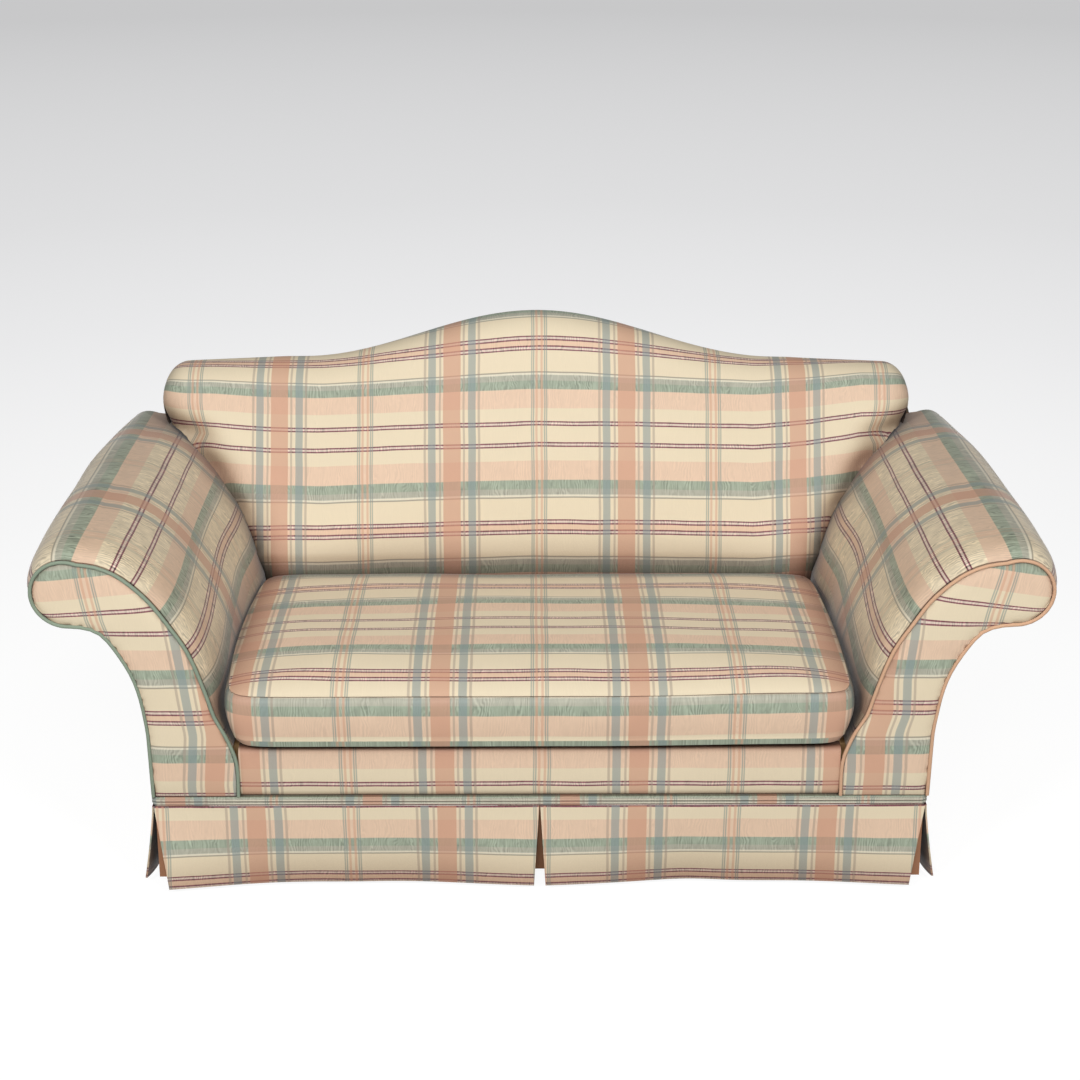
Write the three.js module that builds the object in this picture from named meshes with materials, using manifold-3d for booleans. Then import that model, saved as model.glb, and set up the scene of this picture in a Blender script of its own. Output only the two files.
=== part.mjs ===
// Camelback sofa with rolled arms, one loose seat cushion and a kick-pleated skirt.
// Millimetres. +X is the viewer's right, +Y the back of the sofa, +Z up.
// The pieces are laid out from the front face of the arms, which is Y = 0, and the whole group is then
// moved so that the origin lies on the floor under the middle of the sofa.

import * as THREE from "three";
import { mergeVertices } from "three/addons/utils/BufferGeometryUtils.js";
import Module from "manifold-3d";

const wasm = await Module();
wasm.setup();

// Clearances
const fitGap = 0.3; // between pieces that touch on the real sofa
const cutOverrun = 40; // how far a cut runs past the face that it opens

// Base of the sofa
const baseHalfWidth = 736;
const baseDepth = 834;
const armFootWidth = 166; // an arm at the band
const skinThickness = 10; // padded fabric over the frame's outer faces
const timberThickness = 28;
const hemClearance = 12; // skirt hem to floor
const skirtDrop = 165.7;

// Seat
const deckFrontHeight = 312;
const deckThickness = 12;
const deckSideGap = 2;
const seatRake = THREE.MathUtils.degToRad(1.5);
const borderSetback = 5;

// Band of two cords around the top of the skirt
const bandCordRadius = 4.75;
const bandProud = 3;

// Rolled arms
const rollRadius = 66;
const rollReach = 125; // centre of the roll outside the base
const rollCentreZ = 618;
const rollStartAngle = THREE.MathUtils.degToRad(112);
const armPadding = 20; // extra fill behind the facing, over the roll
const armShellThickness = 30;
const facingWeltRadius = 3.7;
const facingWeltInset = 2;
const stumpThickness = 21;
const armRailShare = 1.11; // side of the arm rail, of the room inside the roll's padding

// Camel back
const peakHeight = 927;
const shoulderHeight = 825;
const humpHalfWidth = 500;
const shoulderDroop = 9;
const droopStart = 540;
const backReach = 74; // end of the camel back outside the base
const earWidth = 62;
const earDrop = 78;
const earSetback = 42;
const peakRollRadius = 70;
const shoulderRollRadius = 84;
const rearRollRadius = 36;
const backFootThickness = 259; // frame's rear face to the foot of the inside back
const kneeHeight = 450;
const kneeRound = 60;
const backCrown = 13;
const backTopPadding = 28;
const backPanelInset = 20; // top edge of the outside back below the camel line
const cavitySideGap = 20; // arm's foot to the side of the hollow
const cavityEndInset = 58;
const cavityFootThickness = 169; // frame's rear face to the front of the hollow
const cavityTopThickness = 49;

// Frame inside the back and the seat
const postWidth = 45;
const crossRailDrop = 14; // top of the back rail to the top of the cross rail
const deckPostGap = 5;
const lowerRailHeight = 60;
const lowerRailBottom = 345;
const stileWidth = 45;
const topRailDrop = 80; // lowest stretch of the camel line to the underside of the top rail
const ledgeDrop = 7; // underside of the top rail to where the hollow widens
const railClearance = 2;
const cornerBlockSide = 95;
const cornerBlockHeightShare = 0.52; // of the front rail's height
const cornerBlockRiseShare = 0.19; // of the same, from the underside of the rails

// Springs
const springWire = 4;
const springHalfWidth = 24;
const seatSpringSideGap = 24; // back post to the outermost zigzag
const seatSpringCount = 8;
const seatSpringEndInset = 6;
const backSpringSideGap = 66.5;
const backSpringCount = 6;
const springPeriods = 9;
const backSpringPeriods = 5;
const stayWireShares = [0.34, 0.67];

// Legs and glides
const legTopSide = 56;
const legBottomSide = 42;
const legInset = 24; // rail face to leg face
const glideHeight = 8;
const glideRadius = 13;
const dustCoverThickness = 1.5;
const dustCoverInset = 12;
const dustNotch = 96;

// Skirt panels and the flaps behind their splits
const clothThickness = 3;
const skirtSetback = 1; // band's outer face to skirt's outer face
const splitHalfGap = 1;
const splitOpening = 11; // how far the centre split opens at the hem, each side
const cornerLean = 23; // how far a front panel's corner edge leans in at the hem
const sideCornerLean = 8;
const backCornerLean = 12;
const cornerStart = 1.5; // corner of the base to the end of a panel
const frontLeftFlare = 28; // how far the hem stands out at each end of a panel
const frontRightFlare = 17;
const splitFlare = 17;
const sideFlare = 23;
const restFlare = 2;
const flareReachShare = 0.42; // of a panel's length, from each end
const flareSharpness = 1.5;
const hangSharpness = 1.2; // how late a panel leaves the upright on its way down
const flapThickness = 2;
const flapSetback = 7;
const flapReach = 80;
const flapLift = 8;
const flapDrawIn = 22;

// Seat cushion
const cushionOverhang = 12;
const cushionBackGap = 9;
const cushionSideReach = 7; // side of the cushion past the arm's foot
const cushionBackTaper = 7;
const cushionCornerRadius = 44;
const boxingHeight = 94.5;
const cushionCrown = 29;
const cushionUnderCrown = 20;
const cushionDrawIn = 6; // how far the sides bow in between the corners
const frontBowShare = 0.25;
const rearBowShare = 0.75;
const bowSharpness = 8;
const boxingDrawIn = 5; // how far the boxing is drawn in between its seams
const underEdgeShare = 0.45; // how soon the underside comes down to its flat
const seamRidge = 2.5;
const seamRidgeWidth = 5;
const coverThickness = 8;
const zipperLength = 900;
const zipperWidth = 14;
const zipperTapeThickness = 2.5;
const sliderLength = 14;
const sliderWidth = 10;
const sliderThickness = 4;

// Values that follow from the sizes above
const railBottom = hemClearance + skirtDrop + fitGap;
const bandHeight = 4 * bandCordRadius;
const bandTop = railBottom + bandHeight;
const skinBottom = bandTop + fitGap;
const seatHalfWidth = baseHalfWidth - armFootWidth;
const cushionHalfWidth = seatHalfWidth + cushionSideReach;
const rollCentreX = baseHalfWidth + rollReach;
const armRailSide = armRailShare * (rollRadius - armShellThickness);
const facingEdgeInset = facingWeltInset + facingWeltRadius + fitGap;
const bandCornerRadius = bandProud + skinThickness + 3 * fitGap; // clears the corner of the frame
const frameHalfWidth = baseHalfWidth - skinThickness - fitGap;
const frameFront = skinThickness + fitGap;
const frameRear = baseDepth - skinThickness - fitGap;
const frontRailFront = frameFront + stumpThickness + fitGap;
const frontRailRear = frontRailFront + timberThickness;
const backRailFront = frameRear - timberThickness;
const springLayer = deckThickness + 2 * fitGap + springWire;
const backRailTop = deckHeightAt(frameRear) - springLayer;
const frontRailTop = deckHeightAt(frontRailRear) - springLayer;
const armLength = frameRear - frameFront;
const backHalfWidth = baseHalfWidth + backReach;
const cavityHalfWidth = seatHalfWidth - cavitySideGap;
const backFootDepth = frameRear - backFootThickness;
const cavityFootDepth = frameRear - cavityFootThickness;
const cavityTopDepth = frameRear - cavityTopThickness;
const topRailBottom = Math.min(peakHeight, shoulderHeight) - topRailDrop;
const cavityLedge = topRailBottom - ledgeDrop;
const cushionDepth = backFootDepth + cushionOverhang - cushionBackGap;

// Height of the deck's upper face at a depth behind the facing plane.
function deckHeightAt(y) {
  return deckFrontHeight - y * Math.tan(seatRake);
}

// Finishes
const finishes = {
  hardwood: new THREE.MeshStandardMaterial({ color: 0xb98f5e, roughness: 0.7, metalness: 0 }),
  springSteel: new THREE.MeshStandardMaterial({ color: 0x8d9196, roughness: 0.35, metalness: 1 }),
  plaid: new THREE.MeshStandardMaterial({ color: 0xe3d3b7, roughness: 0.75, metalness: 0 }),
  greenWelt: new THREE.MeshStandardMaterial({ color: 0x7f9b90, roughness: 0.75, metalness: 0 }),
  peachWelt: new THREE.MeshStandardMaterial({ color: 0xdcb096, roughness: 0.75, metalness: 0 }),
  lining: new THREE.MeshStandardMaterial({ color: 0xa98067, roughness: 0.9, metalness: 0 }),
  decking: new THREE.MeshStandardMaterial({ color: 0xd8ccb4, roughness: 0.9, metalness: 0 }),
  foam: new THREE.MeshStandardMaterial({ color: 0xefe6c8, roughness: 0.95, metalness: 0 }),
  dustCloth: new THREE.MeshStandardMaterial({ color: 0x24221f, roughness: 0.95, metalness: 0 }),
  zipperTape: new THREE.MeshStandardMaterial({ color: 0xd9c9ab, roughness: 0.8, metalness: 0 }),
  zipperMetal: new THREE.MeshStandardMaterial({ color: 0xb89a5c, roughness: 0.35, metalness: 1 }),
  glide: new THREE.MeshStandardMaterial({ color: 0x3a3733, roughness: 0.4, metalness: 0 }),
};

const sofa = new THREE.Group();

// Adds one named piece to a group.
function addPiece(name, geometry, finish, parent = sofa) {
  const mesh = new THREE.Mesh(geometry, finishes[finish]);
  mesh.name = name;
  parent.add(mesh);
  return mesh;
}

// Geometry tools

// A geometry from points and triangles, turned so that its faces point out.
function geometryFrom(points, triangles) {
  let volume = 0;
  for (const [a, b, c] of triangles) {
    const [p, q, r] = [points[a], points[b], points[c]];
    volume += p[0] * (q[1] * r[2] - q[2] * r[1]);
    volume += p[1] * (q[2] * r[0] - q[0] * r[2]);
    volume += p[2] * (q[0] * r[1] - q[1] * r[0]);
  }
  const faces = volume < 0 ? triangles.map(([a, b, c]) => [a, c, b]) : triangles;
  const geometry = new THREE.BufferGeometry();
  geometry.setAttribute("position", new THREE.Float32BufferAttribute(points.flat(), 3));
  geometry.setIndex(faces.flat());
  geometry.computeVertexNormals();
  return geometry;
}

// Skins a row of closed rings that have the same number of points. The ends are capped in the plane of
// the two given coordinates, unless the row runs round to its start. The last ring can have other axes.
function loftRings(rings, capAxes, { runsRound = false, endAxes = capAxes } = {}) {
  const count = rings[0].length;
  const points = rings.flat();
  const triangles = [];
  const spans = runsRound ? rings.length : rings.length - 1;
  for (let i = 0; i < spans; i++) {
    const here = i * count;
    const next = ((i + 1) % rings.length) * count;
    for (let j = 0; j < count; j++) {
      const k = (j + 1) % count;
      triangles.push([here + j, next + j, next + k], [here + j, next + k, here + k]);
    }
  }
  if (!runsRound) {
    const lastStart = spans * count;
    for (const [a, b, c] of capTriangles(flatRing(rings[0], capAxes))) triangles.push([a, b, c]);
    for (const [a, b, c] of capTriangles(flatRing(rings.at(-1), endAxes))) {
      triangles.push([lastStart + a, lastStart + c, lastStart + b]);
    }
  }
  return geometryFrom(points, triangles);
}

function flatRing(ring, [u, v]) {
  return ring.map((p) => new THREE.Vector2(p[u], p[v]));
}

// Triangles that fill a flat ring and run along the ring's own direction. Every point of the ring is
// kept, also those on a straight stretch.
function capTriangles(flat) {
  const filled = THREE.ShapeUtils.triangulateShape([...flat], []);
  const filledArea = filled.reduce((sum, t) => sum + THREE.ShapeUtils.area(t.map((i) => flat[i])), 0);
  const sameWay = filledArea * THREE.ShapeUtils.area(flat) > 0;
  const triangles = filled.map(([a, b, c]) => (sameWay ? [a, b, c] : [a, c, b]));
  const used = new Set(triangles.flat());
  const count = flat.length;
  for (let i = 0; i < count; i++) {
    if (used.has(i)) continue;
    let before = i;
    let after = i;
    do before = (before + count - 1) % count; while (!used.has(before));
    do after = (after + 1) % count; while (!used.has(after));
    const at = triangles.findIndex((t) => t.includes(before) && t.includes(after));
    const turn = triangles[at].indexOf(before);
    const [p, q, r] = [0, 1, 2].map((k) => triangles[at][(turn + k) % 3]);
    triangles.splice(at, 1, ...(q === after ? [[p, i, r], [i, q, r]] : [[p, q, i], [i, q, r]]));
    used.add(i);
  }
  return triangles;
}

// Skins rings from one pole point to another.
function loftPoles(startPole, rings, endPole) {
  const count = rings[0].length;
  const points = [startPole, ...rings.flat(), endPole];
  const last = points.length - 1;
  const triangles = [];
  for (let j = 0; j < count; j++) {
    const k = (j + 1) % count;
    triangles.push([0, 1 + j, 1 + k]);
    for (let i = 0; i + 1 < rings.length; i++) {
      const here = 1 + i * count;
      const next = here + count;
      triangles.push([here + j, next + j, next + k], [here + j, next + k, here + k]);
    }
    triangles.push([last, last - count + k, last - count + j]);
  }
  return geometryFrom(points, triangles);
}

// The mirror image of a piece in the plane X = 0.
function mirrored(geometry) {
  const { array } = geometry.getAttribute("position");
  const points = [];
  for (let i = 0; i < array.length; i += 3) points.push([-array[i], array[i + 1], array[i + 2]]);
  const index = geometry.index ? [...geometry.index.array] : points.map((_, i) => i);
  const triangles = [];
  for (let i = 0; i < index.length; i += 3) triangles.push(index.slice(i, i + 3));
  return geometryFrom(points, triangles);
}

// A solid for joining and cutting.
function solidOf(geometry) {
  const bare = geometry.clone();
  bare.deleteAttribute("normal");
  bare.deleteAttribute("uv");
  const merged = mergeVertices(bare);
  return new wasm.Manifold(
    new wasm.Mesh({
      numProp: 3,
      vertProperties: merged.getAttribute("position").array,
      triVerts: new Uint32Array(merged.index.array),
    }),
  );
}

// A geometry from a joined or cut solid.
function geometryOf(solid) {
  const mesh = solid.getMesh();
  const geometry = new THREE.BufferGeometry();
  geometry.setAttribute("position", new THREE.BufferAttribute(mesh.vertProperties, 3));
  geometry.setIndex(new THREE.BufferAttribute(mesh.triVerts, 1));
  geometry.computeVertexNormals();
  return geometry;
}

function cut(geometry, ...cutters) {
  return geometryOf(cutters.reduce((solid, cutter) => solid.subtract(solidOf(cutter)), solidOf(geometry)));
}

function join(...geometries) {
  return geometryOf(geometries.map(solidOf).reduce((whole, solid) => whole.add(solid)));
}

// A block between two corners.
function block([x0, y0, z0], [x1, y1, z1]) {
  const geometry = new THREE.BoxGeometry(x1 - x0, y1 - y0, z1 - z0);
  return geometry.translate((x0 + x1) / 2, (y0 + y1) / 2, (z0 + z1) / 2);
}

// An outline in X and Z, given depth from one Y to another.
function slabFacingFront(outline, y0, y1) {
  return loftRings([y0, y1].map((y) => outline.map(([x, z]) => [x, y, z])), [0, 2]);
}

// An outline in Y and Z, given length from one X to another.
function slabFacingSide(outline, x0, x1) {
  return loftRings([x0, x1].map((x) => outline.map(([y, z]) => [x, y, z])), [1, 2]);
}

// An outline in X and Y, given height from one Z to another.
function slabFacingUp(outline, z0, z1) {
  return loftRings([z0, z1].map((z) => outline.map(([x, y]) => [x, y, z])), [0, 1]);
}

// Arm outline, on the right arm. It climbs the inside of the arm, goes round the roll and comes down the
// outside to the band. Shares are of the run and the rise between the sizes named beside them.
const insideCurveShares = [[0, -0.107], [0.069, 0.071], [0.131, 0.278], [0.244, 0.538],
  [0.426, 0.742], [0.625, 0.901], [0.775, 0.967]]; // foot to roll centre, deck to top of roll
const outsideCurveShares = [[0.568, 0.961], [0.36, 0.862], [0.128, 0.69], [0.016, 0.499],
  [0, 0.268], [0, 0]]; // foot to roll centre, band to underside of roll
const insideSteps = 12;
const rollSteps = 12;
const outsideSteps = 9;

// Points of the arm outline with their outward normals. The padding share says how much of the extra
// fill lies there, and outside marks the stretch that the outside arm panel covers.
function armOutline() {
  const onRoll = (angle) => new THREE.Vector2(
    rollCentreX + rollRadius * Math.cos(angle), rollCentreZ + rollRadius * Math.sin(angle));
  const inRun = rollCentreX - seatHalfWidth;
  const inRise = rollCentreZ + rollRadius - deckFrontHeight;
  const outRun = rollCentreX - baseHalfWidth;
  const outRise = rollCentreZ - rollRadius - skinBottom;
  const foot = new THREE.Vector2(seatHalfWidth, skinBottom);
  const inside = insideCurveShares.map(([x, z]) =>
    new THREE.Vector2(seatHalfWidth + x * inRun, deckFrontHeight + z * inRise));
  const outside = outsideCurveShares.map(([x, z]) =>
    new THREE.Vector2(baseHalfWidth + x * outRun, skinBottom + z * outRise));
  const up = new THREE.SplineCurve([foot, ...inside, onRoll(rollStartAngle)]).getSpacedPoints(insideSteps);
  const down = new THREE.SplineCurve([onRoll(-rollStartAngle), ...outside]).getSpacedPoints(outsideSteps);
  const round = [];
  for (let i = 1; i < rollSteps; i++) {
    round.push(onRoll(rollStartAngle * (1 - (2 * i) / rollSteps)));
  }
  const points = [...up, ...round, ...down];
  const turn = insideSteps + rollSteps; // index of the last point on the roll
  return points.map((p, i) => {
    const along = points[Math.min(i + 1, points.length - 1)].clone()
      .sub(points[Math.max(i - 1, 0)]).normalize();
    if (i === 0) along.set(0, 1);
    const share = i <= insideSteps
      ? THREE.MathUtils.smoothstep(p.y, deckFrontHeight, deckFrontHeight + boxingHeight)
      : 1 - THREE.MathUtils.smoothstep(i, turn - rollSteps / 3, turn + 1);
    return { x: p.x, z: p.y, nx: -along.y, nz: along.x, share, outside: i >= turn };
  });
}

const armPoints = armOutline();
const rollEnd = armPoints.findIndex((p) => p.outside);

// A point of the outline, moved out along its normal.
function movedOut(p, distance) {
  return [p.x + p.nx * distance, p.z + p.nz * distance];
}

// How full the arm's padding is along its length: nothing at the facing, full behind it.
const armFullnessShares = [[0, 0], [0.03, 0.5], [0.08, 0.85], [0.16, 1], [0.55, 1], [0.85, 0.92],
  [0.96, 0.7], [1, 0.4]];
const armStations = armFullnessShares.map(([along, full]) => ({ y: frameFront + along * armLength, full }));

// Arm pad: the stuffed cover from the seat frame up over the roll to the underside of the roll.
function armPad() {
  const foot = frontRailTop + fitGap;
  const next = armPoints.findIndex((p) => p.z > foot + fitGap);
  const covered = armPoints.slice(next - 1, rollEnd + 1);
  const rings = armStations.map(({ y, full }) => {
    const outer = covered.map((p) => movedOut(p, full * p.share * armPadding));
    const [[x0, z0], [x1, z1]] = outer;
    outer[0] = [THREE.MathUtils.mapLinear(foot, z0, z1, x0, x1), foot];
    const inner = covered.map((p) => movedOut(p, -armShellThickness)).reverse();
    return [...outer, ...inner].map(([x, z]) => [x, y, Math.max(z, foot)]);
  });
  return loftRings(rings, [0, 2]);
}

// Everything below and outside the arm's inner and top faces, used to fit the inside back to the arm.
function armCutter() {
  const topOfRoll = insideSteps + Math.round(rollSteps / 3);
  const farX = rollCentreX + 2 * rollRadius + armPadding;
  const rings = armStations.map(({ y, full }) => {
    const face = armPoints.slice(0, topOfRoll + 1)
      .map((p) => movedOut(p, full * p.share * armPadding + fitGap));
    const [[footX], [, topZ]] = [face[0], face.at(-1)];
    return [[footX, 0], ...face, [farX, topZ], [farX, 0]].map(([x, z]) => [x, y, z]);
  });
  const beyond = (ring, y) => ring.map(([x, , z]) => [x, y, z]);
  rings.unshift(beyond(rings[0], frameFront - cutOverrun));
  rings.push(beyond(rings.at(-1), frameRear + cutOverrun));
  return loftRings(rings, [0, 2]);
}

// A board with the arm's outline, inside the pad and the outside panel, cut level at its foot.
function stumpOutline(foot) {
  const edge = armShellThickness + fitGap;
  const inner = armPoints.slice(0, rollEnd + 1).map((p) => movedOut(p, -edge));
  const outer = armPoints.slice(rollEnd + 1).map((p) => movedOut(p, -skinThickness - fitGap));
  const level = [...inner, ...outer].map(([x, z]) => [x, Math.max(z, foot)]);
  const ends = [[level[0][0], foot], ...level, [level.at(-1)[0], foot]];
  return ends.filter(([x, z], i) => {
    const [px, pz] = ends[(i + ends.length - 1) % ends.length];
    return Math.hypot(x - px, z - pz) > fitGap;
  });
}

// Outside arm: the panel from under the roll down to the band.
function outsideArm() {
  const from = armPoints[rollEnd];
  const start = { ...from, x: from.x + from.nz * fitGap, z: from.z - from.nx * fitGap };
  const covered = [start, ...armPoints.slice(rollEnd + 1)];
  const outer = covered.map((p) => movedOut(p, 0));
  const inner = covered.map((p) => movedOut(p, -skinThickness)).reverse();
  return slabFacingFront([...outer, ...inner], frameFront, frameRear);
}

function armFacing() {
  return slabFacingFront(armPoints.map((p) => movedOut(p, -facingEdgeInset)), 0, skinThickness);
}

// Cord around the edge of the facing, from band to band.
function facingWelt() {
  const sides = 6;
  const line = armPoints.map((p) => movedOut(p, -facingWeltInset));
  const rings = armPoints.map((p, i) => {
    const [x, z] = line[i];
    return Array.from({ length: sides }, (_, k) => {
      const angle = (2 * Math.PI * k) / sides;
      const out = facingWeltRadius * Math.cos(angle);
      return [x + p.nx * out, facingWeltInset + facingWeltRadius * Math.sin(angle), z + p.nz * out];
    });
  });
  return loftRings(rings, [0, 1]);
}

for (const [side, turn] of [["right", (g) => g], ["left", mirrored]]) {
  addPiece(side + "_arm_pad", turn(armPad()), "plaid");
  addPiece(side + "_arm_facing", turn(armFacing()), "plaid");
  addPiece(side + "_facing_welt", turn(facingWelt()), side === "left" ? "greenWelt" : "peachWelt");
  addPiece(side + "_outside_arm", turn(outsideArm()), "plaid");
  addPiece(side + "_front_stump",
    turn(slabFacingFront(stumpOutline(railBottom), frameFront, frameFront + stumpThickness)), "hardwood");
  addPiece(side + "_rear_stump",
    turn(slabFacingFront(stumpOutline(backRailTop + fitGap), backRailFront, frameRear)), "hardwood");
  addPiece(side + "_arm_rail", turn(block(
    [rollCentreX - armRailSide / 2, frontRailFront, rollCentreZ - armRailSide / 2],
    [rollCentreX + armRailSide / 2, backRailFront - fitGap, rollCentreZ + armRailSide / 2])), "hardwood");
}

// Back

// Height of the camel line at a distance from the middle.
function camelHeight(x) {
  const hump = 0.5 * (1 + Math.cos(Math.PI * Math.min(Math.abs(x) / humpHalfWidth, 1)));
  const earStart = backHalfWidth - earWidth;
  const droop = THREE.MathUtils.clamp((Math.abs(x) - droopStart) / (earStart - droopStart), 0, 1);
  const line = shoulderHeight + (peakHeight - shoulderHeight) * hump - shoulderDroop * droop;
  return line - earDrop * (1 - earShare(x));
}

// One over most of the back, falling to nothing round the ear.
function earShare(x) {
  const past = THREE.MathUtils.clamp((Math.abs(x) - (backHalfWidth - earWidth)) / earWidth, 0, 1);
  return Math.sqrt(1 - past * past);
}

const backFootHeight = deckHeightAt(backFootDepth) + fitGap;

// Side view of the inside back at one place across the sofa.
function backSection(x) {
  const top = camelHeight(x);
  const ear = 1 - earShare(x);
  const across = Math.min(Math.abs(x) / humpHalfWidth, 1);
  const roll = THREE.MathUtils.lerp(peakRollRadius, shoulderRollRadius, across) - earSetback * ear / 2;
  const crest = frameRear - rearRollRadius;
  const centre = new THREE.Vector2(crest, top - roll);
  const knee = new THREE.Vector2(backFootDepth + earSetback * ear, kneeHeight);
  const lean = Math.atan2(centre.x - roll - knee.x, centre.y - knee.y);
  const points = [[knee.x, backFootHeight], [knee.x, kneeHeight - kneeRound]];
  const leanSteps = 5;
  const tangent = new THREE.Vector2(centre.x - roll * Math.cos(lean), centre.y + roll * Math.sin(lean));
  for (let i = 1; i <= leanSteps; i++) {
    const t = i / (leanSteps + 1);
    const p = knee.clone().lerp(tangent, t);
    const swell = backCrown * Math.sin(Math.PI * t) * (1 - across ** 4) + backCrown * (1 - t) / 2;
    points.push([p.x - swell * Math.cos(lean) * earShare(x), p.y]);
  }
  const rollTurns = 5;
  for (let i = 0; i < rollTurns; i++) {
    const angle = Math.PI - lean - (Math.PI / 2 - lean) * (i / rollTurns);
    points.push([centre.x + roll * Math.cos(angle), centre.y + roll * Math.sin(angle)]);
  }
  for (let i = 0; i <= rollTurns; i++) {
    const angle = (Math.PI / 2) * (1 - i / rollTurns);
    points.push([crest + rearRollRadius * Math.cos(angle), top - rearRollRadius * (1 - Math.sin(angle))]);
  }
  points.push([frameRear, backFootHeight]);
  return points.map(([y, z]) => [x, y, z]);
}

// Places across the back where it is shaped, as shares of half its width.
const backStationShares = [0, 0.085, 0.17, 0.26, 0.35, 0.44, 0.53, 0.63, 0.75, 0.87, 0.925, 0.965, 0.99,
  0.999];

// Outline of the camel line, drawn in from the back's edge, above a level.
function camelOutline(inset, endInset, level) {
  const half = backStationShares.map((share) => share * (backHalfWidth - endInset));
  const line = half.map((x) => [x, camelHeight(x) - inset]);
  return [...line.map(([x, z]) => [-x, z]).reverse(), ...line.slice(1),
    [half.at(-1), level], [-half.at(-1), level]];
}

// Hollow behind the back's padding, where its frame stands. It is open to the rear and below.
function backCavity() {
  const upper = camelOutline(backTopPadding, cavityEndInset, cavityLedge);
  const lower = [[-cavityHalfWidth, cavityLedge + fitGap], [cavityHalfWidth, cavityLedge + fitGap],
    [cavityHalfWidth, railBottom], [-cavityHalfWidth, railBottom]];
  const raked = [upper, lower].map((outline) => {
    const front = outline.map(([x, z]) => [x, cavityDepthAt(z), z]);
    const rear = outline.map(([x, z]) => [x, frameRear + cutOverrun, z]);
    return loftRings([front, rear], [0, 2]);
  });
  return join(...raked);
}

function cavityDepthAt(z) {
  const share = (z - backFootHeight) / (peakHeight - backTopPadding - backFootHeight);
  return THREE.MathUtils.lerp(cavityFootDepth, cavityTopDepth, share);
}

const rightArmCutter = armCutter();
const leftArmCutter = mirrored(rightArmCutter);

function insideBack() {
  const half = backStationShares.map((share) => share * backHalfWidth);
  const stations = [...half.slice(1).map((x) => -x).reverse(), ...half];
  const whole = loftRings(stations.map(backSection), [1, 2]);
  return cut(whole, rightArmCutter, leftArmCutter, backCavity());
}

// Outside back: one flat panel behind the back and the ends of both arms.
function outsideBack() {
  const full = armStations.at(-1).full;
  const arm = armPoints.map((p) => movedOut(p, full * p.share * armPadding));
  const armEnd = slabFacingFront(arm, baseDepth - skinThickness, baseDepth);
  const camel = slabFacingFront(
    camelOutline(backPanelInset, backPanelInset, rollCentreZ), baseDepth - skinThickness, baseDepth);
  const middle = block([skinThickness - baseHalfWidth, baseDepth - skinThickness, skinBottom],
    [baseHalfWidth - skinThickness, baseDepth, rollCentreZ + skinThickness]);
  return join(camel, middle, armEnd, mirrored(armEnd));
}

// A board in the back frame that is raked along its front edge.
function rakedBoard(x0, x1, z0, z1) {
  const front = (z) => cavityDepthAt(z) + railClearance;
  return slabFacingSide([[front(z0), z0], [frameRear, z0], [frameRear, z1], [front(z1), z1]], x0, x1);
}

const postOuter = cavityHalfWidth - railClearance;
const postInner = postOuter - postWidth;
const lowerRailFront = cavityDepthAt(lowerRailBottom + lowerRailHeight) + railClearance;
const topRailFront = frameRear - timberThickness;

addPiece("inside_back", insideBack(), "plaid");
addPiece("outside_back", outsideBack(), "plaid");
for (const [side, turn] of [["right", (g) => g], ["left", mirrored]]) {
  addPiece(side + "_back_post", turn(rakedBoard(
    postInner, postOuter, backRailTop + fitGap, topRailBottom - fitGap)), "hardwood");
}
addPiece("back_lower_rail", block(
  [-postInner + fitGap, lowerRailFront, lowerRailBottom],
  [postInner - fitGap, lowerRailFront + timberThickness, lowerRailBottom + lowerRailHeight]), "hardwood");
addPiece("back_stile", block([-stileWidth / 2, topRailFront, backRailTop + fitGap],
  [stileWidth / 2, frameRear, topRailBottom - fitGap]), "hardwood");
addPiece("back_top_rail", cut(slabFacingFront(
  camelOutline(backTopPadding + railClearance, cavityEndInset + railClearance, topRailBottom),
  topRailFront, frameRear), rightArmCutter, leftArmCutter), "hardwood");

// Seat frame

addPiece("front_rail", block([-frameHalfWidth, frontRailFront, railBottom],
  [frameHalfWidth, frontRailRear, frontRailTop]), "hardwood");
addPiece("back_rail", block([-frameHalfWidth, backRailFront, railBottom],
  [frameHalfWidth, frameRear, backRailTop]), "hardwood");
for (const [side, turn] of [["right", (g) => g], ["left", mirrored]]) {
  addPiece(side + "_side_rail", turn(block(
    [frameHalfWidth - timberThickness, frontRailRear + fitGap, railBottom],
    [frameHalfWidth, backRailFront - fitGap, backRailTop])), "hardwood");
}
addPiece("seat_cross_rail", block([-timberThickness / 2, frontRailRear + fitGap, railBottom],
  [timberThickness / 2, backRailFront - fitGap, backRailTop - crossRailDrop]), "hardwood");

// A three-cornered block in each corner of the seat frame.
function cornerBlock(atFront) {
  const x = frameHalfWidth - timberThickness - fitGap;
  const [y, inward] = atFront ? [frontRailRear + fitGap, 1] : [backRailFront - fitGap, -1];
  const railHeight = frontRailTop - railBottom;
  const underside = railBottom + cornerBlockRiseShare * railHeight;
  return slabFacingUp([[x, y], [x, y + inward * cornerBlockSide], [x - cornerBlockSide, y]],
    underside, underside + cornerBlockHeightShare * railHeight);
}

// A tapered leg under a corner, from the glide up to the rails.
function leg(x, y) {
  const square = (side, z) => [[-1, -1], [1, -1], [1, 1], [-1, 1]]
    .map(([u, v]) => [x + (u * side) / 2, y + (v * side) / 2, z]);
  return loftRings([square(legBottomSide, glideHeight + fitGap), square(legTopSide, railBottom - fitGap)],
    [0, 1]);
}

function glide(x, y) {
  const profile = [[0, 0], [glideRadius, 0], [glideRadius, glideHeight], [0, glideHeight]];
  const sides = 20;
  const disc = new THREE.LatheGeometry(profile.map(([r, z]) => new THREE.Vector2(r, z)), sides);
  return disc.rotateX(Math.PI / 2).translate(x, y, 0);
}

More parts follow.
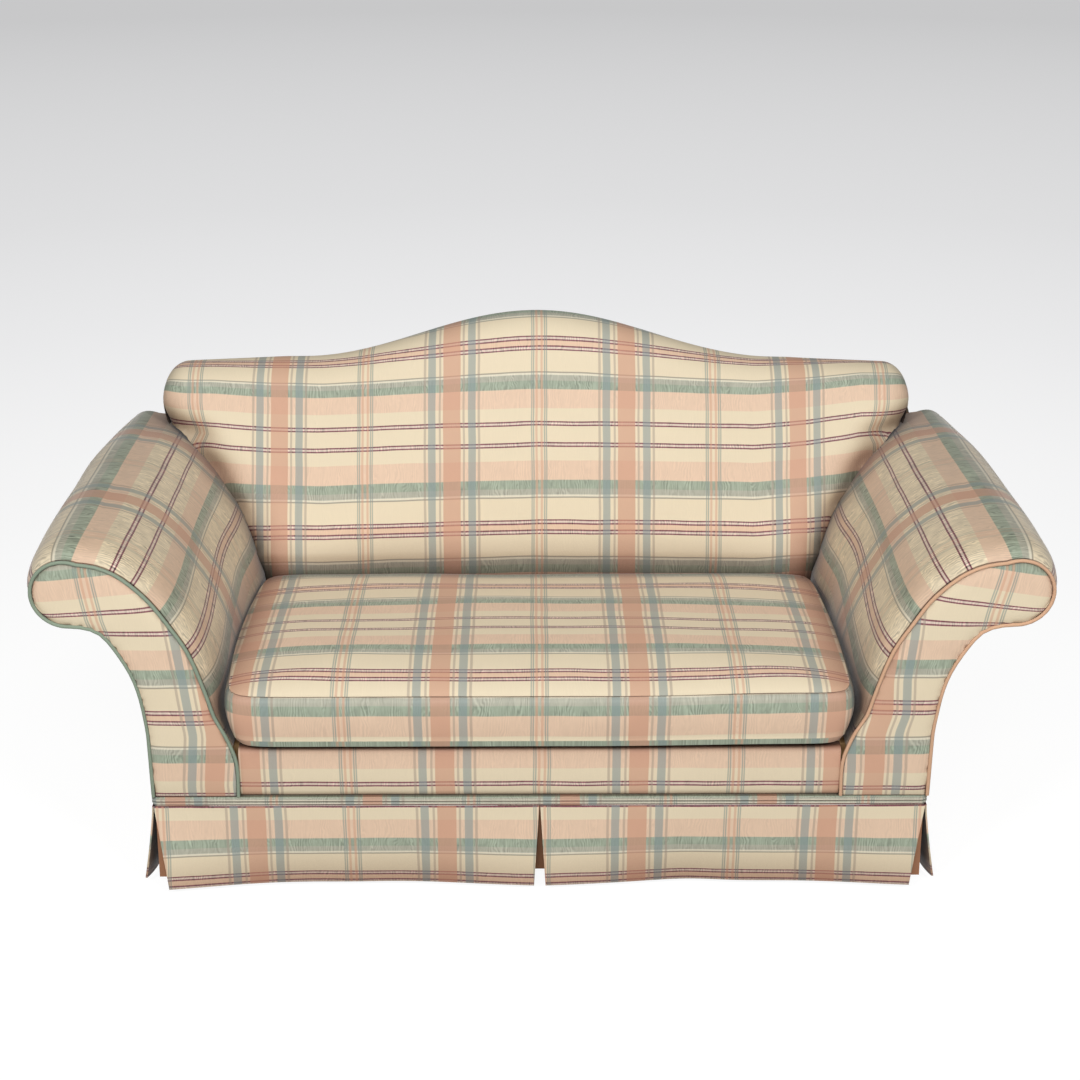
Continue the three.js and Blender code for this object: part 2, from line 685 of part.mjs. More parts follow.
const legX = frameHalfWidth - legInset - legTopSide / 2;
const legFrontY = frontRailFront + legInset / 2 + legTopSide / 2;
const legRearY = frameRear - legInset - legTopSide / 2;
for (const [end, y] of [["front", legFrontY], ["rear", legRearY]]) {
  for (const [side, turn] of [["right", (g) => g], ["left", mirrored]]) {
    const name = end + "_" + side;
    addPiece(name + "_corner_block", turn(cornerBlock(end === "front")), "hardwood");
    addPiece(name + "_leg", turn(leg(legX, y)), "hardwood");
    addPiece(name + "_glide", turn(glide(legX, y)), "glide");
  }
}

// Dust cover under the frame, notched round the legs.
function dustCover() {
  const x = frameHalfWidth - dustCoverInset;
  const y0 = frontRailFront + dustCoverInset;
  const y1 = frameRear - dustCoverInset;
  const outline = [[x - dustNotch, y0], [x - dustNotch, y0 + dustNotch], [x, y0 + dustNotch],
    [x, y1 - dustNotch], [x - dustNotch, y1 - dustNotch], [x - dustNotch, y1]];
  const whole = [...outline, ...outline.map(([u, v]) => [-u, v]).reverse()];
  return slabFacingUp(whole, railBottom - fitGap - dustCoverThickness, railBottom - fitGap);
}
addPiece("dust_cover", dustCover(), "dustCloth");

// Seat deck and front border

const deckFront = frontRailFront;
const deckHalfWidth = seatHalfWidth - deckSideGap;
const deckRear = cavityFootDepth - deckPostGap;
addPiece("seat_deck", slabFacingSide([
  [deckFront, deckHeightAt(deckFront)], [deckRear, deckHeightAt(deckRear)],
  [deckRear, deckHeightAt(deckRear) - deckThickness], [deckFront, deckHeightAt(deckFront) - deckThickness],
], -deckHalfWidth, deckHalfWidth), "decking");
addPiece("front_border", block([-deckHalfWidth, borderSetback, skinBottom],
  [deckHalfWidth, frameFront + stumpThickness, deckHeightAt(deckFront)]), "plaid");

// Springs

// A round wire along a line of points, with the same number of sides all the way.
function wire(points) {
  const sides = 5;
  const rings = points.map((p, i) => {
    const before = points[Math.max(i - 1, 0)];
    const after = points[Math.min(i + 1, points.length - 1)];
    const along = after.clone().sub(before).normalize();
    const side = new THREE.Vector3().crossVectors(along, wireUp(along)).normalize();
    const up = new THREE.Vector3().crossVectors(side, along);
    return Array.from({ length: sides }, (_, k) => {
      const angle = (2 * Math.PI * k) / sides;
      return p.clone().addScaledVector(side, (springWire / 2) * Math.cos(angle))
        .addScaledVector(up, (springWire / 2) * Math.sin(angle)).toArray();
    });
  });
  return loftRings(rings, Math.abs(points[1].x - points[0].x) > Math.abs(points[1].y - points[0].y)
    ? [1, 2] : [0, 2]);
}

// A direction that is well away from the wire's own.
function wireUp(along) {
  const steepShare = 0.8;
  return Math.abs(along.z) > steepShare ? new THREE.Vector3(0, 1, 0) : new THREE.Vector3(0, 0, 1);
}

// A zigzag spring from one point to another, in the plane that holds X and its own line.
function zigzag(from, to, periods) {
  const steps = 2 * periods;
  const points = [from];
  for (let i = 1; i < steps; i++) {
    const p = from.clone().lerp(to, i / steps);
    const swing = i % 2 ? springHalfWidth : -springHalfWidth;
    points.push(p.setX(p.x + swing));
  }
  return [...points, to];
}

// Zigzag springs side by side, tied across by straight wires.
function springSet(count, sideGap, start, end, periods) {
  const pieces = [];
  const reach = postInner - sideGap - springHalfWidth;
  for (let i = 0; i < count; i++) {
    const x = reach * ((2 * i) / (count - 1) - 1);
    pieces.push(wire(zigzag(start.clone().setX(x), end.clone().setX(x), periods)));
  }
  for (const share of stayWireShares) {
    const p = start.clone().lerp(end, share);
    pieces.push(wire([p.clone().setX(-reach - springHalfWidth), p.clone().setX(reach + springHalfWidth)]));
  }
  return join(...pieces);
}

function springPoint(y) {
  return new THREE.Vector3(0, y, deckHeightAt(y) - deckThickness - fitGap - springWire / 2);
}

addPiece("seat_springs", springSet(seatSpringCount, seatSpringSideGap,
  springPoint(frontRailFront + seatSpringEndInset), springPoint(frameRear - seatSpringEndInset),
  springPeriods), "springSteel");
const springSeat = springWire / 2 + fitGap;
addPiece("back_springs", springSet(backSpringCount, backSpringSideGap,
  new THREE.Vector3(0, lowerRailFront + timberThickness / 2, lowerRailBottom + lowerRailHeight + springSeat),
  new THREE.Vector3(0, topRailFront - springSeat, topRailBottom + timberThickness / 2),
  backSpringPeriods), "springSteel");

// Band around the base: two cords on a flat tape, run as one ring with rounded corners.
function baseBand() {
  const cordSteps = 5;
  const section = [[bandProud + skinThickness, 0]];
  for (const centre of [bandCordRadius, 3 * bandCordRadius]) {
    for (let i = 0; i <= cordSteps; i++) {
      const angle = -Math.PI / 2 + (Math.PI * i) / cordSteps;
      section.push([bandCordRadius * (1 - Math.cos(angle)), centre + bandCordRadius * Math.sin(angle)]);
    }
  }
  section.push([bandProud + skinThickness, bandHeight]);
  const outline = section.filter(([u, v], i) => i === 0
    || Math.hypot(u - section[i - 1][0], v - section[i - 1][1]) > fitGap);
  const x = baseHalfWidth + bandProud - bandCornerRadius;
  const yFront = bandCornerRadius - bandProud;
  const yRear = baseDepth + bandProud - bandCornerRadius;
  const turns = 4;
  const rings = [];
  for (const [cx, cy, start] of [[x, yFront, -0.5], [x, yRear, 0], [-x, yRear, 0.5], [-x, yFront, 1]]) {
    for (let i = 0; i <= turns; i++) {
      const angle = Math.PI * (start + i / turns / 2);
      rings.push(outline.map(([depth, z]) => [
        cx + (bandCornerRadius - depth) * Math.cos(angle),
        cy + (bandCornerRadius - depth) * Math.sin(angle),
        railBottom + z]));
    }
  }
  return loftRings(rings, [0, 1], { runsRound: true });
}
addPiece("base_band", baseBand(), "plaid");

// Skirt panels. Each hangs from a rounded top edge, which is its hinge line, and stands out at its ends
// as hanging cloth does. A panel is made along u, with its outer side towards +w.
const skirtTop = railBottom - fitGap;
const hingeHeight = skirtTop - clothThickness / 2;
const hemLength = hingeHeight - hemClearance;

// How far the hem stands out at a share of the panel's length, from its two end flares.
function hemFlare(share, startFlare, endFlare) {
  const near = Math.max(1 - share / flareReachShare, 0) ** flareSharpness;
  const far = Math.max(1 - (1 - share) / flareReachShare, 0) ** flareSharpness;
  return restFlare + startFlare * near + endFlare * far;
}

// Rings of the panel in its own frame: [u along, w out, z up].
function skirtRings({ topStart, topEnd, hemStart, hemEnd, startFlare, endFlare }) {
  const stations = 15;
  const dropShares = [0.08, 0.36, 0.68, 1];
  const topTurnShares = [0, 0.25, 0.5, 0.75, 1];
  const half = clothThickness / 2;
  const rings = [];
  for (let i = 0; i < stations; i++) {
    const share = i / (stations - 1);
    const flare = hemFlare(share, startFlare, endFlare);
    const at = (drop, w) => [
      THREE.MathUtils.lerp(
        THREE.MathUtils.lerp(topStart, topEnd, share), THREE.MathUtils.lerp(hemStart, hemEnd, share), drop),
      w + flare * drop ** hangSharpness,
      hingeHeight - hemLength * drop];
    const round = topTurnShares.map((turn) => {
      const angle = Math.PI * turn;
      return [THREE.MathUtils.lerp(topStart, topEnd, share),
        half * Math.cos(angle), hingeHeight + half * Math.sin(angle)];
    });
    rings.push([...dropShares.map((drop) => at(drop, half)).reverse(), ...round,
      ...dropShares.map((drop) => at(drop, -half))]);
  }
  return rings;
}

const hingeOut = bandProud - skirtSetback - clothThickness / 2; // hinge line outside the base outline
const cornerEdge = baseHalfWidth - cornerStart;

// The right front panel, with a flare at its corner. The left one is its mirror image.
function frontSkirt(cornerFlare) {
  const rings = skirtRings({
    topStart: splitHalfGap, topEnd: cornerEdge, hemStart: splitOpening, hemEnd: cornerEdge - cornerLean,
    startFlare: splitFlare, endFlare: cornerFlare,
  });
  return loftRings(rings.map((ring) => ring.map(([u, w, z]) => [u, -hingeOut - w, z])), [1, 2]);
}

function sideSkirt() {
  const rings = skirtRings({
    topStart: cornerStart, topEnd: baseDepth - cornerStart,
    hemStart: cornerStart + sideCornerLean, hemEnd: baseDepth - cornerStart - sideCornerLean,
    startFlare: sideFlare, endFlare: sideFlare,
  });
  const out = baseHalfWidth + hingeOut;
  return loftRings(rings.map((ring) => ring.map(([u, w, z]) => [out + w, u, z])), [0, 2]);
}

function backSkirt() {
  const rings = skirtRings({
    topStart: -cornerEdge, topEnd: cornerEdge,
    hemStart: -cornerEdge + backCornerLean, hemEnd: cornerEdge - backCornerLean,
    startFlare: sideFlare, endFlare: sideFlare,
  });
  const out = baseDepth + hingeOut;
  return loftRings(rings.map((ring) => ring.map(([u, w, z]) => [u, out + w, z])), [1, 2]);
}

addPiece("front_right_skirt", frontSkirt(frontRightFlare), "plaid");
addPiece("front_left_skirt", mirrored(frontSkirt(frontLeftFlare)), "plaid");
addPiece("right_skirt", sideSkirt(), "plaid");
addPiece("left_skirt", mirrored(sideSkirt()), "plaid");
addPiece("back_skirt", backSkirt(), "plaid");

// Rings of a lined flap behind a split. It follows a line in plan and is drawn in towards its hem.
function flapRings(line) {
  const foot = hemClearance + flapLift;
  return line.map(({ x, y, nx, ny }) => {
    const at = (inward, z) => [x - nx * inward, y - ny * inward, z];
    return [at(0, skirtTop), at(flapDrawIn, foot), at(flapDrawIn + flapThickness, foot),
      at(flapThickness, skirtTop)];
  });
}

const flapLine = flapSetback - bandProud; // outer face of a flap inside the base outline
const centreFlap = flapRings([-flapReach, 0, flapReach].map((x) => ({ x, y: flapLine, nx: 0, ny: -1 })));
addPiece("centre_pleat_flap", loftRings(centreFlap, [1, 2]), "lining");

// Around a corner of the base, from its front or rear side to its flank.
function cornerFlap(atFront) {
  const x = baseHalfWidth - flapLine;
  const [y, ny] = atFront ? [flapLine, -1] : [baseDepth - flapLine, 1];
  const rings = flapRings([
    { x: x - flapReach, y, nx: 0, ny }, { x, y, nx: 1, ny }, { x, y: y - ny * flapReach, nx: 1, ny: 0 }]);
  return loftRings(rings, [1, 2], { endAxes: [0, 2] });
}

for (const [end, atFront] of [["front", true], ["rear", false]]) {
  for (const [side, turn] of [["right", (g) => g], ["left", mirrored]]) {
    addPiece(end + "_" + side + "_pleat_flap", turn(cornerFlap(atFront)), "lining");
  }
}

// Seat cushion, laid on the raked deck. In its own frame Y starts at the facing plane and Z at the deck.
const cushion = new THREE.Group();
cushion.position.z = deckFrontHeight;
cushion.rotation.x = -seatRake;
sofa.add(cushion);

const cushionMiddle = cushionDepth / 2 - cushionOverhang;
const underSeam = fitGap + cushionUnderCrown;
const upperSeam = underSeam + boxingHeight;

// Plan outline of the cushion at a share of the way round, drawn in by an inset.
function cushionEdge(turnShare, inset) {
  const angle = 2 * Math.PI * turnShare;
  const [c, s] = [Math.cos(angle), Math.sin(angle)];
  const corner = cushionCornerRadius - inset;
  const halfDepth = cushionDepth / 2 - inset;
  const halfWidth = cushionHalfWidth - inset;
  const power = (half) => Math.log(2) / Math.log(half / (half - corner * (1 - Math.SQRT1_2)));
  const [px, py] = [power(halfWidth), power(halfDepth)];
  const x = Math.sign(c) * Math.abs(c) ** (2 / px);
  const y = Math.sign(s) * Math.abs(s) ** (2 / py);
  const taper = (cushionBackTaper * (1 + y)) / 2;
  const sideBow = cushionDrawIn * (1 - y * y) * Math.abs(x) ** bowSharpness;
  const endBow = cushionDrawIn * (1 - x * x) * Math.abs(y) ** bowSharpness;
  const endBowShare = s > 0 ? rearBowShare : frontBowShare;
  return [x * (halfWidth - taper - sideBow), cushionMiddle + y * (halfDepth - endBow * endBowShare)];
}

// One level ring of the cushion. Rings nearer its middle are smaller copies of the edge.
function cushionRing(count, scale, inset, height) {
  return Array.from({ length: count }, (_, i) => {
    const [x, y] = cushionEdge(i / count, inset);
    return [x * scale, cushionMiddle + (y - cushionMiddle) * scale, height];
  });
}

// The stuffed form, smaller all round by an inset: crowned top, boxing drawn in between its two seams,
// and an underside that is flat where it rests.
function cushionForm(count, topScales, underScales, inset, ridge) {
  const crownAt = (scale) => cushionCrown * (1 - scale ** 3);
  const underAt = (scale) => cushionUnderCrown * Math.min(1, (1 - scale ** 3) / underEdgeShare);
  const upper = upperSeam - inset;
  const under = underSeam + inset;
  const halfway = (upper + under) / 2;
  const rings = [
    ...topScales.map((scale) => cushionRing(count, scale, inset, upper + crownAt(scale))),
    cushionRing(count, 1, inset - ridge, upper),
    cushionRing(count, 1, inset + ridge / 2, upper - seamRidgeWidth),
    cushionRing(count, 1, inset + boxingDrawIn, halfway),
    cushionRing(count, 1, inset + ridge / 2, under + seamRidgeWidth),
    cushionRing(count, 1, inset - ridge, under),
    ...underScales.map((scale) => cushionRing(count, scale, inset, under - underAt(scale))),
  ];
  return loftPoles([0, cushionMiddle, upper + cushionCrown], rings,
    [0, cushionMiddle, under - cushionUnderCrown]);
}

const topScaleShares = [0.32, 0.58, 0.76, 0.88, 0.955];
const underScaleShares = [0.955, 0.87, 0.5];
const coreTopScaleShares = [0.5, 0.85];
const coreUnderScaleShares = [0.87, 0.5];
const coverPoints = 56;
const corePoints = 28;

const rearFace = cushionDepth - cushionOverhang - boxingDrawIn;
const boxingMiddle = (upperSeam + underSeam) / 2;
const zipperSlot = block(
  [-zipperLength / 2, rearFace - cushionDrawIn - 2 * coverThickness, boxingMiddle - zipperWidth / 2],
  [zipperLength / 2, rearFace + cutOverrun, boxingMiddle + zipperWidth / 2]);
addPiece("cushion_cover", cut(
  cushionForm(coverPoints, topScaleShares, underScaleShares, 0, seamRidge),
  cushionForm(corePoints, coreTopScaleShares, coreUnderScaleShares, coverThickness, 0),
  zipperSlot), "plaid", cushion);
addPiece("cushion_core",
  cushionForm(corePoints, coreTopScaleShares, coreUnderScaleShares, coverThickness + fitGap, 0),
  "foam", cushion);

const tapeFront = rearFace - coverThickness;
const tapeRear = tapeFront + zipperTapeThickness;
addPiece("zipper_tape", block(
  [-zipperLength / 2 + fitGap, tapeFront, boxingMiddle - zipperWidth / 2 + fitGap],
  [zipperLength / 2 - fitGap, tapeRear, boxingMiddle + zipperWidth / 2 - fitGap]), "zipperTape", cushion);
addPiece("zipper_slider", block(
  [-zipperLength / 2 + sliderLength, tapeRear + fitGap, boxingMiddle - sliderWidth / 2],
  [-zipperLength / 2 + 2 * sliderLength, tapeRear + fitGap + sliderThickness,
    boxingMiddle + sliderWidth / 2]), "zipperMetal", cushion);

// The origin goes to the middle of the sofa's full depth, hem to hem.
const frontFlare = Math.max(frontLeftFlare, frontRightFlare);
const frontReach = hingeOut + clothThickness / 2 + restFlare + frontFlare;
const rearReach = baseDepth + hingeOut + clothThickness / 2 + restFlare + sideFlare;
sofa.position.y = -(rearReach - frontReach) / 2;

export default sofa;
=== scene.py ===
"""Camelback sofa with rolled arms, one loose seat cushion and a kick-pleated skirt, all in plaid.

Lengths are metres. The soft pieces are laid out from the front plane of the arms (Y = 0) and moved to the
frame's own origin when their meshes are made.
"""

from __future__ import annotations

import logging
import math
from dataclasses import dataclass, field
from enum import Enum
from typing import Callable, Iterable, Sequence

import bmesh
import bpy
import numpy as np
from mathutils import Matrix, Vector

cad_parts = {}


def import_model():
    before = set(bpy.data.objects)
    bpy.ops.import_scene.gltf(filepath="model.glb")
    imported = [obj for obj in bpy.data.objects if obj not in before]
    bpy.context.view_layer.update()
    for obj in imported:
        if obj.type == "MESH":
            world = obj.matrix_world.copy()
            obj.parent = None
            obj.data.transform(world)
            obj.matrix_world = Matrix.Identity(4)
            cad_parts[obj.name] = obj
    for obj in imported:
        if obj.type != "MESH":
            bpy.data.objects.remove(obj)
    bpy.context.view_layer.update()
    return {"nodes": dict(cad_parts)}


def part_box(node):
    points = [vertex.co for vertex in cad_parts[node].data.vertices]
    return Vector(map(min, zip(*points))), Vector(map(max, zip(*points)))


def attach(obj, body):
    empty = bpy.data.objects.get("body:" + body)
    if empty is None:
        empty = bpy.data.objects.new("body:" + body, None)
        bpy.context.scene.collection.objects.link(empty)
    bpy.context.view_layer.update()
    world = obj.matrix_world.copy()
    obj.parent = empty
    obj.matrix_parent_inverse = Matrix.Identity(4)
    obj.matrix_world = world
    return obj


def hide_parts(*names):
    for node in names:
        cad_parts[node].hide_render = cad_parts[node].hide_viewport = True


log = logging.getLogger("sofa")

Colour = tuple[float, float, float, float]
Pair = tuple[float, float]
Array = np.ndarray
Socket = bpy.types.NodeSocket
Thing = bpy.types.Object
Material = bpy.types.Material

FACING_PLANE_Y = -0.4145  # front plane of the arms in the frame
SOFT_CREASE = 50.0  # degrees; an edge sharper than this stays sharp
CORD_CREASE = 60.0
FOOT_WEFT = 0.199  # height at which a weft group's middle lies on the upright panels
TURN = 2 * math.pi
SQUARE = ((-1, -1), (1, -1), (1, 1), (-1, 1))  # signs of the corners, all round


class Slot(Enum):
    """Material slots that the pieces name."""

    PLAID = "plaid_fabric"
    GREEN_WELT = "green_welt"
    PEACH_WELT = "peach_welt"
    LINING = "pleat_lining"
    DECKING = "decking_cloth"
    FOAM = "foam"
    DUST_CLOTH = "dust_cloth"
    ZIPPER_TAPE = "zipper_tape"
    ZIPPER_METAL = "zipper_metal"


class Side(Enum):
    """Side of the sofa as the viewer sees it; the value is the sign of X."""

    LEFT = -1
    RIGHT = 1

    @property
    def word(self) -> str:
        """Word used in the names of pieces."""
        return self.name.lower()


def colour(code: str) -> Colour:
    """Turn a written colour into the linear numbers of a shader socket.

    Args:
        code: Six hexadecimal digits of the colour as it is seen.

    Returns:
        Linear red, green and blue, and full opacity.
    """
    seen = [int(code[i:i + 2], 16) / 255 for i in (0, 2, 4)]
    linear = [c / 12.92 if c <= 0.04045 else ((c + 0.055) / 1.055) ** 2.4 for c in seen]
    return (linear[0], linear[1], linear[2], 1.0)


def sheer(code: str, cover: float) -> Colour:
    """Give a written colour with a share of cover as its opacity."""
    return (*colour(code)[:3], cover)


def smooth_step(value: Array | float, low: float, high: float) -> Array | float:
    """Rise smoothly from nothing at a low value to one at a high value."""
    t = np.clip((value - low) / (high - low), 0.0, 1.0)
    return t * t * (3 - 2 * t)


def joined(*parts: Array | float) -> Array:
    """Join coordinates into points, each spread over the shape of the others."""
    return np.stack(np.broadcast_arrays(*parts), axis=-1)


def unevenness(points: Array, wave: float, seed: float) -> Array:
    """Give soft, irregular highs and lows over a surface, the same in each run.

    Args:
        points: Points of the surface.
        wave: Rough distance between two highs.
        seed: Shift that makes one piece differ from another.

    Returns:
        Value between about -1 and 1 for each point.
    """
    x, y, z = (points[..., i] * (TURN / wave) for i in range(3))
    first = np.sin(x + 1.7 * np.sin(0.61 * y + seed) + 0.8 * z)
    second = np.sin(0.83 * y - 1.3 * np.sin(0.47 * z - seed) + 0.6 * x + 2.1 * seed)
    third = np.sin(1.31 * z + 1.1 * np.sin(0.71 * x + 0.9 * seed) - 0.4 * y)
    return (first + second + third) / 3


# Meshes


@dataclass
class Surface:
    """Points, faces and cloth coordinates of one piece while it is made."""

    points: list[Sequence[float]] = field(default_factory=list)
    faces: list[tuple[int, ...]] = field(default_factory=list)
    cloth: list[list[Pair]] = field(default_factory=list)

    def add_points(self, points: Array) -> int:
        """Add points and give the number of the first."""
        self.points.extend(points.reshape(-1, 3).tolist())
        return len(self.points) - points.size // 3

    def add_face(self, corners: Sequence[int], cloth: Sequence[Pair]) -> None:
        """Add one face with the cloth coordinates of its corners."""
        self.faces.append(tuple(corners))
        self.cloth.append([(float(u), float(v)) for u, v in cloth])

    def join(self, other: Surface) -> None:
        """Take in another surface.

        Args:
            other: Surface whose points and faces are added.
        """
        start = self.add_points(np.array(other.points))
        for face, marks in zip(other.faces, other.cloth):
            self.add_face([start + corner for corner in face], marks)


def tube(rings: Array, cloth: Array | None = None, capped: bool = True, looped: bool = False) -> Surface:
    """Skin a row of closed rings.

    Args:
        rings: Rings, points and X, Y and Z.
        cloth: Cloth coordinates of the points. A ring may end with one more, where its cloth has a seam.
            A looped row ends with one more ring.
        capped: Whether both ends are closed by a face.
        looped: Whether the row itself runs round to its start.

    Returns:
        The surface.
    """
    count, across = rings.shape[:2]
    if cloth is None:
        cloth = np.zeros((count, across, 2))
    if cloth.shape[1] == across:
        cloth = np.concatenate([cloth, cloth[:, :1]], axis=1)
    made = Surface()
    made.add_points(rings)
    for i in range(count if looped else count - 1):
        here, there = i * across, (i + 1) % count * across
        for j in range(across):
            k = (j + 1) % across
            made.add_face((here + j, there + j, there + k, here + k),
                          (cloth[i, j], cloth[i + 1, j], cloth[i + 1, j + 1], cloth[i, j + 1]))
    for end in (0, count - 1) if capped and not looped else ():
        made.add_face(range(end * across, (end + 1) * across), cloth[end, :across])
    return made


def shell(outer: Array, inner: Array, cloth: Array) -> Surface:
    """Join an outer and an inner sheet of points into one closed piece.

    Args:
        outer: Rows and columns of points of the outer face.
        inner: The same for the inner face.
        cloth: Cloth coordinates of the outer points, used for both faces.

    Returns:
        The closed surface.
    """
    rows, across = outer.shape[:2]
    rings = np.concatenate([outer, inner[:, ::-1]], axis=1)
    made = tube(rings, np.concatenate([cloth, cloth[:, ::-1]], axis=1), capped=False)
    for row in (0, rows - 1):
        start = row * 2 * across
        for j in range(across - 1):
            far = start + 2 * across - 1 - j
            made.add_face((start + j, start + j + 1, far - 1, far),
                          (cloth[row, j], cloth[row, j + 1], cloth[row, j + 1], cloth[row, j]))
    return made


def finish_mesh(mesh: bpy.types.Mesh, crease: float = SOFT_CREASE) -> None:
    """Turn the faces outwards and shade the mesh smooth except along its sharp edges.

    Args:
        mesh: Mesh of a piece.
        crease: Angle in degrees from which an edge is kept sharp.
    """
    work = bmesh.new()
    work.from_mesh(mesh)
    bmesh.ops.recalc_face_normals(work, faces=work.faces)
    limit = math.radians(crease)
    for face in work.faces:
        face.smooth = True
    for edge in work.edges:
        edge.smooth = edge.calc_face_angle(0.0) < limit
    work.to_mesh(mesh)
    work.free()
    mesh.update()


def make_object(name: str, surface: Surface, crease: float = SOFT_CREASE) -> Thing:
    """Make the Blender object of a surface.

    Args:
        name: Name of the piece.
        surface: Surface laid out from the front plane of the arms.
        crease: Angle in degrees from which an edge is kept sharp.

    Returns:
        The new object, in the scene.
    """
    mesh = bpy.data.meshes.new(name)
    points = np.array(surface.points) + np.array([0.0, FACING_PLANE_Y, 0.0])
    mesh.from_pydata(points.tolist(), [], surface.faces)
    layer = mesh.uv_layers.new(name="Cloth")
    flat = np.array([pair for face in surface.cloth for pair in face], dtype=np.float32)
    layer.data.foreach_set("uv", flat.ravel())
    finish_mesh(mesh, crease)
    made = bpy.data.objects.new(name, mesh)
    bpy.context.scene.collection.objects.link(made)
    return made


def apply_modifier(piece: Thing, kind: str, **settings: object) -> None:
    """Add one modifier to a piece and apply it.

    Args:
        piece: Object to change.
        kind: Blender's name of the modifier type.
        settings: Values of the modifier.
    """
    modifier = piece.modifiers.new(kind.title(), kind)
    for key, value in settings.items():
        setattr(modifier, key, value)
    with bpy.context.temp_override(object=piece, active_object=piece):
        bpy.ops.object.modifier_apply(modifier=modifier.name)


def cut_away(piece: Thing, cutters: Iterable[Thing]) -> None:
    """Cut solids out of a piece and delete the cutters.

    Args:
        piece: Object to cut.
        cutters: Solids that are taken out.
    """
    for cutter in cutters:
        apply_modifier(piece, "BOOLEAN", operation="DIFFERENCE", object=cutter, solver="EXACT")
        bpy.data.meshes.remove(cutter.data)


def prism(name: str, outline: Sequence[Pair], front: Callable[[float], float], rear: float) -> Thing:
    """Make a solid to cut with from an outline in X and Z; its front face may lean."""
    rings = [[(x, front(z), z) for x, z in outline], [(x, rear, z) for x, z in outline]]
    return make_object(name, tube(np.array(rings)))


def run_along(line: Array) -> Array:
    """Give the length along a line of points at each point."""
    return np.concatenate([[0], np.cumsum(np.linalg.norm(np.diff(line, axis=0), axis=1))])


def points_at(line: Array, lengths: Array) -> Array:
    """Give the points of a flat line at lengths along it."""
    run = run_along(line)
    return np.column_stack([np.interp(lengths, run, line[:, k]) for k in range(2)])


def spline(points: Sequence[Pair], steps: int) -> Array:
    """Run a smooth curve through points and divide it evenly.

    Args:
        points: Points in a plane.
        steps: Number of equal steps along the curve.

    Returns:
        One more point than there are steps.
    """
    knots = np.array(points, dtype=float)
    padded = np.vstack([knots[:1], knots, knots[-1:]])
    dense: list[Array] = []
    parts = 24
    for i in range(len(knots) - 1):
        p0, p1, p2, p3 = padded[i:i + 4]
        slope_in, slope_out = (p2 - p0) / 2, (p3 - p1) / 2
        for part in range(parts):
            t = part / parts
            dense.append((2 * p1 - 2 * p2 + slope_in + slope_out) * t ** 3
                         + (3 * p2 - 3 * p1 - 2 * slope_in - slope_out) * t ** 2 + slope_in * t + p1)
    dense.append(knots[-1])
    line = np.array(dense)
    return points_at(line, np.linspace(0, run_along(line)[-1], steps + 1))


# Finishes


